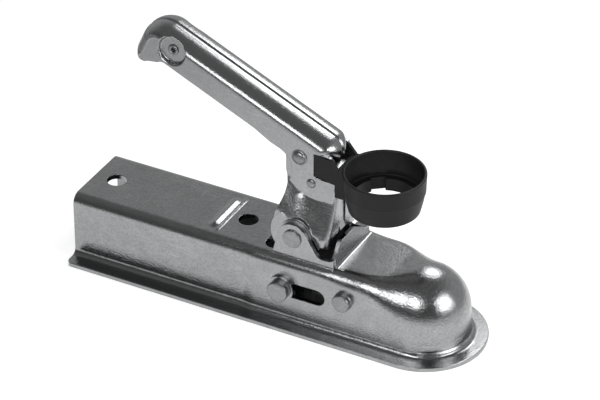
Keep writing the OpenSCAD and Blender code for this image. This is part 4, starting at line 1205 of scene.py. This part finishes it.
@dataclass
class LeverBracket:
    """The folded bracket between the ears, with the legs that drive the jaw."""

    half: float = 19.6
    top_half: float = 10.1
    sheet: float = 3.2
    boss_r: float = 17.4
    foot_rise: float = -4.2
    flare_top: tuple[Flat, ...] = (
        (-12, 37.0), (-8, 35.0), (-5.6, 32.4), (-3.5, 29.6), (-0.8, 27.2), (2.0, 26.2), (18, 25.4), (23, 25.2))
    flare_foot: tuple[Flat, ...] = (
        (-17, 16.0), (-10.1, 14.0), (-6.6, 12.0), (-2.4, 8.0), (3, 5.5), (8.7, 4.5), (15.7, 2.0), (19.8, -2.5),
        (23, -4.0))
    boss_small_r: float = 12.0
    top_rise: float = 58.0
    curl_at: Flat = (-28.0, 51.3)
    curl_r: float = 8.9
    fold: float = 4.4
    gap_half: float = 4.0
    fork_play: float = 0.85
    pin_r: float = 5.0
    front: tuple[Flat, ...] = ((-4.2, 21.1), (6, 22.2), (18, 22.7), (58, 22.7))
    rear: tuple[Flat, ...] = (
        (-4.2, -16.2), (-1.4, -16.4), (6.7, -15.9), (12.9, -14.3), (17.6, -12.4), (21.8, -11.0), (26, -10.0),
        (31.1, -9.6), (40, -11.5), (58, -11.5))

    def half_width(self, x: float, rise: float) -> float:
        """Half width of the bracket, which flares from under the grip to a slanted line by the pivot."""
        foot = lookup(x, self.flare_foot)
        t = min(1.0, max(0.0, (rise - foot) / (lookup(x, self.flare_top) - foot)))
        return self.half + (self.top_half - self.half) * (0.8 * t + 0.2 * ease(t))

    def level(self, rise: float, inset: float) -> Ring:
        """One level of the folded sheet, from the right cheek round the front to the left."""
        f, b, r = lookup(rise, self.front), lookup(rise, self.rear), self.fold
        w = self.half_width(f - r, rise)
        half = [(x, self.half_width(x, rise) - inset) for x in spread(b, f - r, 14)[:-1]]
        half += arc((f - r, w - r), r - inset, 90, 0, 8)
        half.append((f - inset, (w - r) * 0.5))
        dent = [(x, y - 0.9 * bump(math.hypot(x + 0.2, rise - 26.4), 2.3)) for x, y in half]
        ring = [(x, -y) for x, y in dent] + [(x, y) for x, y in reversed(dent)]
        return [(PIVOT[0] + x, y, PIVOT[1] + rise) for x, y in ring]

    def boss(self, angle: float, lean: float) -> Flat:
        """A point on the boss, which is round but gives way to the flare above its slanted line."""
        reach = self.boss_small_r
        while reach < self.boss_r:
            x, rise = polar((0, 0), reach, angle + lean)
            if rise > lookup(x, self.flare_foot):
                break
            reach += 0.1
        return polar((0, 0), reach, angle)

    def leg_outline(self) -> list[Flat]:
        """Side view of a leg with its boss."""
        drop = PIVOT[1] - SLIDE_PIN[1]
        lean = math.degrees(math.atan((SLIDE_PIN[0] - PIVOT[0]) / drop))
        closed = math.atan((SLIDE_PIN[0] - PIVOT[0] + 22) / drop)
        tip = drop / math.cos(closed) + self.pin_r + 1
        wide = self.pin_r + self.fork_play + 4
        meet = math.degrees(math.asin(wide / self.boss_r))
        side = [self.boss(a, lean) for a in spread(-90 + meet, 270 - meet, 96)]
        line = side + [(-wide, -tip), (wide, -tip)]
        c, s = math.cos(math.radians(lean)), math.sin(math.radians(lean))
        return [(PIVOT[0] + x * c - z * s, PIVOT[1] + x * s + z * c) for x, z in line]

    def fork_outline(self) -> list[Flat]:
        """The open slot at the foot of the legs."""
        drop = PIVOT[1] - SLIDE_PIN[1]
        lean = math.atan((SLIDE_PIN[0] - PIVOT[0]) / drop)
        wide, top = self.pin_r + self.fork_play, drop - self.pin_r - 1.2
        line = [(-wide, -70), (wide, -70), (wide, -top), (-wide, -top)]
        c, s = math.cos(lean), math.sin(lean)
        return [(PIVOT[0] + x * c - z * s, PIVOT[1] + x * s + z * c) for x, z in line]

    def build(self, dresser: Dresser, grip: HandleGrip) -> None:
        """Makes the bracket and sets it in the frame."""
        rises = [self.foot_rise] + spread(-2.5, self.top_rise, 56)
        bracket = bent_sheet(
            "folded_bracket", [self.level(z, 0) for z in rises], [self.level(z, self.sheet) for z in rises])
        outer, inner = self.half + 0.2, self.half - self.sheet
        for side in (-1, 1):
            shape(bracket, across("leg", self.leg_outline(), side * (inner - 0.1), side * outer), Shaping.JOIN)
            shape(bracket, across("fork", self.fork_outline(), side * (inner - 1), side * (outer + 1)), Shaping.CUT)
        crown = [(-60, grip.crown_rise - 8), (-28, grip.crown_rise - 8)]
        crown += arc(self.curl_at, self.curl_r, 85, 5, 10)
        crown += [(60, self.curl_at[1] + 0.7), (60, 120), (-60, 120)]
        above = [grip.world(p) for p in crown]
        shape(bracket, across("above", above, -30, 30), Shaping.CUT)
        foot = PIVOT[1] + self.foot_rise
        gap = [(PIVOT[0] + 12, foot - 1), (PIVOT[0] + 32, foot - 1), (PIVOT[0] + 32, foot + 32), (PIVOT[0] + 12, foot + 32)]
        shape(bracket, across("gap", gap, -self.gap_half, self.gap_half), Shaping.CUT)
        for at, r in ((PIVOT, 8.05), (HANDLE_RIVET, 3.25), (CATCH_PIN, 2.55)):
            shape(bracket, turned("rivet_hole", at, [(-21, r), (21, r)], 48), Shaping.CUT)
        polish(bracket, 36)
        dresser.piece(bracket, Slot.ZINC_LEVER, Body.LEVER, "lever_bracket")


@dataclass
class PlugHolder:
    """The moulded ring that parks the trailer's plug, with its two arms."""

    at: Flat = (-28.3, 0.0)
    top: float = 90.9
    height: float = 26.0
    outer: float = 25.9
    wall: float = 1.8
    ledge: float = 17.5
    bore: float = 19.4
    band: float = 12.5
    arm: Flat = (10.3, 12.3)

    def ring(self) -> bpy.types.Object:
        """The ring outside, before it is bored."""
        low, r, e = self.top - self.height, self.outer, 0.7
        profile = [(low, self.bore - 3), (low, r - 3.9), (low + 0.3, r - 3.5), (low + self.band * 0.55, r - 1.9),
                   (low + self.height - self.band - 0.4, r - 0.75), (low + self.height - self.band, r - 0.45)]
        profile += [(z, rr) for rr, z in arc((r - e, self.top - e), e, 0, 90, 5)]
        profile.append((self.top, self.bore - 3))
        return spun("plug_ring", self.at, profile, 128)

    def arm_outline(self, grip: HandleGrip) -> list[Flat]:
        """Side view of an arm, from the grip to the ring."""
        back = self.at[0] - self.outer
        front = PIVOT[0] + 22.7 + 0.6
        foot = self.top - self.height + 6
        return [grip.world((-15.2, 56.4)), grip.world((-8.8, 42.3)), (front - 2.1, 80.15), (front, 79.9),
                (front, foot), (back + 6.5, foot), (back + 6.5, self.top - 1), (back + 1, self.top - 1),
                (back - 4.5, self.top + 5.6)]

    def build(self, dresser: Dresser, grip: HandleGrip) -> None:
        """Makes the holder and sets it in the frame."""
        holder = self.ring()
        a, b = self.arm
        for side in (-1, 1):
            shape(holder, across("arm", self.arm_outline(grip), side * a, side * b), Shaping.JOIN)
        back = self.at[0] - self.outer
        low = self.top - self.height
        web = [(back - 1.6, low + 6.1), (back + 4.4, low + 6.1), (back + 4.4, self.top - 0.9), (back - 1.6, self.top - 0.9)]
        shape(holder, across("web", web, -a - 1, a + 1), Shaping.JOIN)
        inner = self.outer - self.wall
        pocket = [(self.top - self.ledge, inner - 0.6), (self.top - self.ledge + 0.6, inner)]
        pocket += [(self.top - 0.6, inner), (self.top + 0.1, inner + 0.5), (self.top + 1, inner + 0.5)]
        shape(holder, spun("pocket", self.at, pocket, 128), Shaping.CUT)
        shape(holder, spun("bore", self.at, [(low - 1, self.bore), (self.top - self.ledge + 1, self.bore)], 96), Shaping.CUT)
        notches = dresser.shop.grow("notches", dresser.shop.keyways, {
            "Centre": Vector((self.at[0], self.at[1], low + 4)) * MM, "Count": 4, "Ring Radius": self.bore * MM,
            "Start Angle": math.radians(38), "Block Size": Vector((4.0, 9.0, 30.0)) * MM})
        shape(holder, notches, Shaping.CUT)
        polish(holder, 32)
        dresser.piece(holder, Slot.PLASTIC, Body.LEVER, "plug_holder")


@dataclass(frozen=True)
class Rivet:
    """A rivet or headed pin across the coupling."""

    node: str
    body: Body
    at: Flat
    seat: float
    head_r: float
    head_h: float
    roundness: float
    collar_r: float
    collar_h: float
    shank_r: float
    heads: int = 2
    inner_end: float | None = None

    def build(self, dresser: Dresser, side: int = -1) -> None:
        """Makes the rivet and sets it in the frame.

        Args:
            dresser: Gives the finish and the place.
            side: -1 where the head is on the right, 1 where it is on the left.
        """
        end = self.seat if self.inner_end is None else self.inner_end
        values = {
            "Centre": Vector((self.at[0], 0, self.at[1])) * MM, "Seat": self.seat * MM, "Inner End": end * MM,
            "Heads": self.heads, "Head Radius": self.head_r * MM, "Head Height": self.head_h * MM,
            "Head Roundness": self.roundness, "Collar Radius": self.collar_r * MM,
            "Collar Height": self.collar_h * MM, "Shank Radius": self.shank_r * MM,
        }
        made = dresser.shop.grow(self.node + "_turned", dresser.shop.rivets, values)
        if side > 0:
            turn = Matrix.Translation((2 * self.at[0] * MM, 0, 0)) @ Matrix.Rotation(math.pi, 4, "Z")
            made.data.transform(turn)
        polish(made, 50)
        dresser.piece(made, Slot.RIVET, self.body, self.node)


class Fasteners:
    """Every rivet and headed pin."""

    def build(self, dresser: Dresser) -> None:
        """Makes them all and sets them in the frame."""
        ear, wall, grip = 24.0, 29.3, 12.2
        washer = -box("slide_washer_right")[0].y
        Rivet("pivot_rivet", Body.HEAD, PIVOT, ear, 6.2, 1.4, 0.26, 6.1, 0.4, 5.0).build(dresser)
        Rivet("front_rivet", Body.HEAD, FRONT_RIVET, wall, 6.0, 4.6, 0.2, 6.3, 1.3, 4.0).build(dresser)
        Rivet("slide_pin", Body.SLIDER, SLIDE_PIN, washer, 7.0, 5.0, 0.2, 7.0, 0.4, 5.0).build(dresser)
        Rivet("catch_pin", Body.LEVER, CATCH_PIN, grip, 3.0, 1.4, 0.8, 3.2, 0.3, 2.5).build(dresser)
        for node, side in (("handle_rivet_right", -1), ("handle_rivet_left", 1)):
            Rivet(node, Body.LEVER, HANDLE_RIVET, grip, 4.6, 2.6, 0.85, 5.3, 0.6, 3.2, 1, -5.3).build(dresser, side)
        self.end_rivet(dresser)

    def end_rivet(self, dresser: Dresser) -> None:
        """The tubular rivet in the dish at the tip, open at both ends."""
        floor = 12.2 + 0.2 - 2.6
        lip = [(floor - 0.5, 2.6), (floor, 2.6), (floor, 3.4), (floor + 0.35, 3.6), (floor + 0.7, 3.45),
               (floor + 0.95, 3.0), (floor + 1.0, 2.4), (floor + 0.8, 1.9), (floor + 0.2, 1.55), (floor - 3, 1.5)]
        profile = [(-y, r) for y, r in reversed(lip[:-1])] + lip[:-1]
        made = turned("grip_end_rivet_turned", END_RIVET, profile, 56)
        for side in (-1, 1):
            bore = [(side * (floor - 3), 1.5), (side * (floor + 0.2), 1.5), (side * (floor + 0.8), 1.9), (side * (floor + 3), 2.6)]
            shape(made, turned("bore", END_RIVET, bore, 56), Shaping.CUT)
        polish(made, 50)
        dresser.piece(made, Slot.RIVET, Body.LEVER, "grip_end_rivet")


@dataclass
class Springs:
    """The two lever springs and the little spring of the catch, in drawn wire."""

    wire_r: float = 1.4
    coil_r: float = 10.0
    turns: int = 3
    catch_wire_r: float = 0.5
    catch_turns: int = 2

    def lever_line(self, side: int) -> list[Point]:
        """Middle of the wire of a lever spring: rear leg, coil and front leg."""
        y1 = 3.2 + 0.1 + 0.35 + self.wire_r - 19.6
        y0 = y1 + (2 * self.wire_r + 0.25) * self.turns
        foot = PIVOT[1] - self.coil_r
        low = 26.3 - 3.2 - self.wire_r - 0.4
        x, z = PIVOT
        line = [(x - 27.5, y0, low), (x - 18.5, y0, low), (x - 6, y0, foot - 0.8)]
        steps = 40 * self.turns
        for i in range(steps + 1):
            dx, dz = polar((0, 0), self.coil_r, 360 * self.turns * i / steps - 90)
            line.append((x + dx, y0 + (y1 - y0) * i / steps, z + dz))
        line += [(x + 6, y1, foot + 0.8), (x + 20.1, y1, z - 4.2 - self.wire_r - 0.3)]
        return [(px, -side * py, pz) for px, py, pz in line]

    def catch_line(self) -> list[Point]:
        """Middle of the wire of the catch's spring."""
        x, z = CATCH_PIN
        r = 2.5 + self.catch_wire_r + 0.4
        y0 = -3.0 - self.catch_wire_r - 0.2
        y1 = y0 - self.catch_turns * (2 * self.catch_wire_r + 0.12)
        turned_by = 360 * self.catch_turns - 47 - 20
        steps = 30 * self.catch_turns
        line = [(x + 8.4, y0, z - 14), (x + 2.8, y0, z - 7)]
        for i in range(steps + 1):
            dx, dz = polar((0, 0), r, -90 - 47 - turned_by * i / steps)
            line.append((x + dx, y0 + (y1 - y0) * i / steps, z + dz))
        ax, az = x - 9, z - 7
        line += [(ax + 1.6, y1, az + 0.6), (ax + 0.3, y1 - 0.5, az + 0.1), (ax, y1 - 1.6, az), (ax - 0.3, -9.1, az - 0.1)]
        return line

    def build(self, dresser: Dresser) -> None:
        """Makes the springs and sets them in the frame."""
        for node, line, r, body in (
            ("lever_spring_right", self.lever_line(-1), self.wire_r, Body.HEAD),
            ("lever_spring_left", self.lever_line(1), self.wire_r, Body.HEAD),
            ("catch_spring", self.catch_line(), self.catch_wire_r, Body.LEVER),
        ):
            made = dresser.shop.grow(node + "_wire", dresser.shop.wires, {
                "Wire Radius": r * MM, "Spacing": r * 0.5 * MM}, line)
            polish(made, 50)
            dresser.piece(made, Slot.SPRING, body, node)


class InnerParts:
    """The nodes of the frame that keep their own shape."""

    slots = {
        "guide_bush": Slot.INNER, "pivot_bush": Slot.INNER, "pivot_washer_right": Slot.INNER,
        "pivot_washer_left": Slot.INNER, "grip_spacer": Slot.INNER, "safety_catch": Slot.ZINC_LEVER,
        "ball_jaw": Slot.JAW, "slide_washer_right": Slot.ZINC_BODY, "slide_washer_left": Slot.ZINC_BODY,
    }

    def build(self, dresser: Dresser) -> None:
        """Gives them their finishes."""
        for name, slot in self.slots.items():
            dresser.node(name, slot)


# Studio


@dataclass(frozen=True)
class Softbox:
    """A soft light that is placed by the direction it comes from."""

    name: str
    direction: Point
    distance: float
    width: float
    height: float
    radiance: float

    def build(self, target: Vector) -> None:
        """Hangs the light and turns it to the coupling."""
        data = bpy.data.lights.new(self.name, "AREA")
        data.shape = "RECTANGLE"
        data.size, data.size_y = self.width, self.height
        data.energy = self.radiance * math.pi * self.width * self.height
        made = bpy.data.objects.new(self.name, data)
        away = Vector(self.direction).normalized()
        made.location = target + away * self.distance
        made.rotation_mode = "QUATERNION"
        made.rotation_quaternion = away.to_track_quat("Z", "Y")
        made.visible_camera = False
        bpy.context.scene.collection.objects.link(made)


@dataclass
class Studio:
    """Camera, floor, surroundings and lights."""

    target: Point = (-0.086883, 0.0, 0.052361)
    position: Point = (0.796216, -1.630704, 1.286970)
    roll: float = -0.275
    lens: float = 216.0
    sensor: float = 36.0
    floor_half: float = 8.0
    floor_glow: float = 0.7
    # The floor's glow as reflections see it is a painted pool of light: pool is its near and far reach, pool_middle
    # and pool_edge its levels, pool_rear and pool_ahead shape its falloff behind and ahead of the head.
    pool: Flat = (0.1, 0.5)
    pool_middle: float = 0.8
    pool_edge: float = 0.1
    pool_rear: float = -0.2
    pool_ahead: float = 3.4
    near_sky: float = 0.12
    far_sky: float = 0.47
    top_sky: float = 0.18
    boxes: tuple[Softbox, ...] = (
        Softbox("far_softbox", (-0.1, 0.66, 0.745), 0.5, 0.17, 0.21, 5.0),
        Softbox("near_softbox", (-0.1, -0.757, 0.645), 0.45, 0.26, 0.14, 5.0),
        Softbox("nose_softbox", (0.871, -0.076, 0.485), 0.5, 0.28, 0.25, 5.0),
    )

    def camera(self) -> None:
        """Sets the camera at the viewing angle of the photograph."""
        data = bpy.data.cameras.new("camera")
        data.sensor_fit = "HORIZONTAL"
        data.sensor_width, data.lens = self.sensor, self.lens
        data.clip_start, data.clip_end = 0.05, 50
        made = bpy.data.objects.new("camera", data)
        back = (Vector(self.position) - Vector(self.target)).normalized()
        right = Vector((0, 0, 1)).cross(back).normalized()
        up = back.cross(right)
        turn = math.radians(self.roll)
        r = math.cos(turn) * right + math.sin(turn) * up
        u = -math.sin(turn) * right + math.cos(turn) * up
        place = Matrix((r, u, back)).transposed().to_4x4()
        place.translation = self.position
        made.matrix_world = place
        bpy.context.scene.collection.objects.link(made)
        bpy.context.scene.camera = made

    def seen_share(self, graph: Graph, mirrored: object = 1.0) -> bpy.types.NodeSocket:
        """1 for rays from the camera or through glass, the given share in a reflection, and 0 for light."""
        path = graph.add("ShaderNodeLightPath").outputs
        clear = graph.math("MAXIMUM", path["Is Camera Ray"], path["Is Transmission Ray"])
        return graph.math("MAXIMUM", clear, graph.math("MULTIPLY", path["Is Glossy Ray"], mirrored))

    def floor(self) -> None:
        """A plain pale floor that keeps the shadow. Its glow is left off over the head's footprint, a painted shadow
        under the channel, and in reflections it is a painted pool of light, brightest near the head.
        """
        z = CAD_BOX[0].z
        h = self.floor_half
        mesh = bpy.data.meshes.new("floor")
        mesh.from_pydata([(-h, -h, z), (h, -h, z), (h, h, z), (-h, h, z)], [], [(0, 1, 2, 3)])
        made = bpy.data.objects.new("floor", mesh)
        bpy.context.scene.collection.objects.link(made)
        paper = bpy.data.materials.new("pale_floor")
        paper.use_nodes = True
        paper.node_tree.nodes.clear()
        graph = Graph(paper.node_tree)
        matt = graph.add("ShaderNodeBsdfDiffuse", {"Color": (0.82, 0.82, 0.82, 1)})
        place = graph.add("ShaderNodeTexCoord").outputs["Object"]
        part = graph.add("ShaderNodeSeparateXYZ", {0: place}).outputs
        ahead = graph.math("MAXIMUM", part[0], 0.0)
        out = graph.math("SQRT", graph.math("ADD", graph.math("POWER", ahead, 2.0), graph.math("POWER", part[1], 2.0)))
        # The glow is left off over the head's footprint, as a painted shadow under the channel.
        beside = graph.range(out, CAD_BOX[1].y - 0.006, CAD_BOX[1].y, 0.0, 1.0)
        behind = graph.range(part[0], CAD_BOX[0].x, CAD_BOX[0].x + 0.006, 1.0, 0.0)
        glow_outside_painted_shadow = graph.math("MAXIMUM", beside, behind)
        # The share of the glow that reflections see is a painted pool of light, bright near the head and falling off
        # with distance, faster ahead of it.
        rear = graph.math("MAXIMUM", graph.math("SUBTRACT", self.pool_rear, part[0]), 0.0)
        beyond = graph.math("MULTIPLY_ADD", ahead, self.pool_ahead, rear)
        away = graph.math("SQRT", graph.math("ADD", graph.math("POWER", beyond, 2.0), graph.math("POWER", part[1], 2.0)))
        pool = graph.range(away, *self.pool, self.pool_middle, self.pool_edge)
        seen = graph.math("MULTIPLY", self.seen_share(graph, pool), glow_outside_painted_shadow)
        glow = graph.add("ShaderNodeEmission", {
            "Color": (1, 1, 1, 1), "Strength": graph.math("MULTIPLY", seen, self.floor_glow)})
        both = graph.add("ShaderNodeAddShader", {0: matt.outputs[0], 1: glow.outputs[0]})
        graph.add("ShaderNodeOutputMaterial", {0: both.outputs[0]})
        mesh.materials.append(paper)

    def surroundings(self) -> None:
        """White below the horizon, dim overhead and on the near side, and brighter on the far side."""
        world = bpy.data.worlds.new("studio")
        bpy.context.scene.world = world
        world.use_nodes = True
        world.node_tree.nodes.clear()
        graph = Graph(world.node_tree)
        way = graph.add("ShaderNodeTexCoord").outputs["Generated"]
        part = graph.add("ShaderNodeSeparateXYZ", {0: way}).outputs
        far = graph.range(part[1], -0.4, 0.3, 0.0, 1.0)
        low = graph.range(part[2], 0.9, 0.5, 0.0, 1.0)
        side = graph.math("MULTIPLY_ADD", far, self.far_sky - self.near_sky, self.near_sky)
        sky = graph.math("MULTIPLY_ADD", graph.math("SUBTRACT", side, self.top_sky), low, self.top_sky)
        ground = graph.range(part[2], 0.03, 0.0, 0.0, 1.0)
        level = graph.math("MAXIMUM", graph.math("MAXIMUM", sky, ground), self.seen_share(graph, 0.0))
        back = graph.add("ShaderNodeBackground", {0: (1, 1, 1, 1), 1: level})
        graph.add("ShaderNodeOutputWorld", {0: back.outputs[0]})

    def build(self) -> None:
        """Sets up the camera, the floor, the surroundings and the lights."""
        self.camera()
        self.floor()
        self.surroundings()
        for softbox in self.boxes:
            softbox.build(Vector((0, 0, 0)))
        bpy.context.scene.view_settings.view_transform = "Standard"


def main() -> None:
    """Builds the coupling's pieces and the studio round them."""
    logging.basicConfig(level=logging.INFO, format="%(name)s: %(message)s")
    Studio().build()
    dresser = Dresser(Workshop())
    grip = HandleGrip()
    BodyShell().build(dresser)
    grip.build(dresser)
    LeverBracket().build(dresser, grip)
    PlugHolder().build(dresser, grip)
    Fasteners().build(dresser)
    Springs().build(dresser)
    InnerParts().build(dresser)


if __name__ == "__main__":
    main()
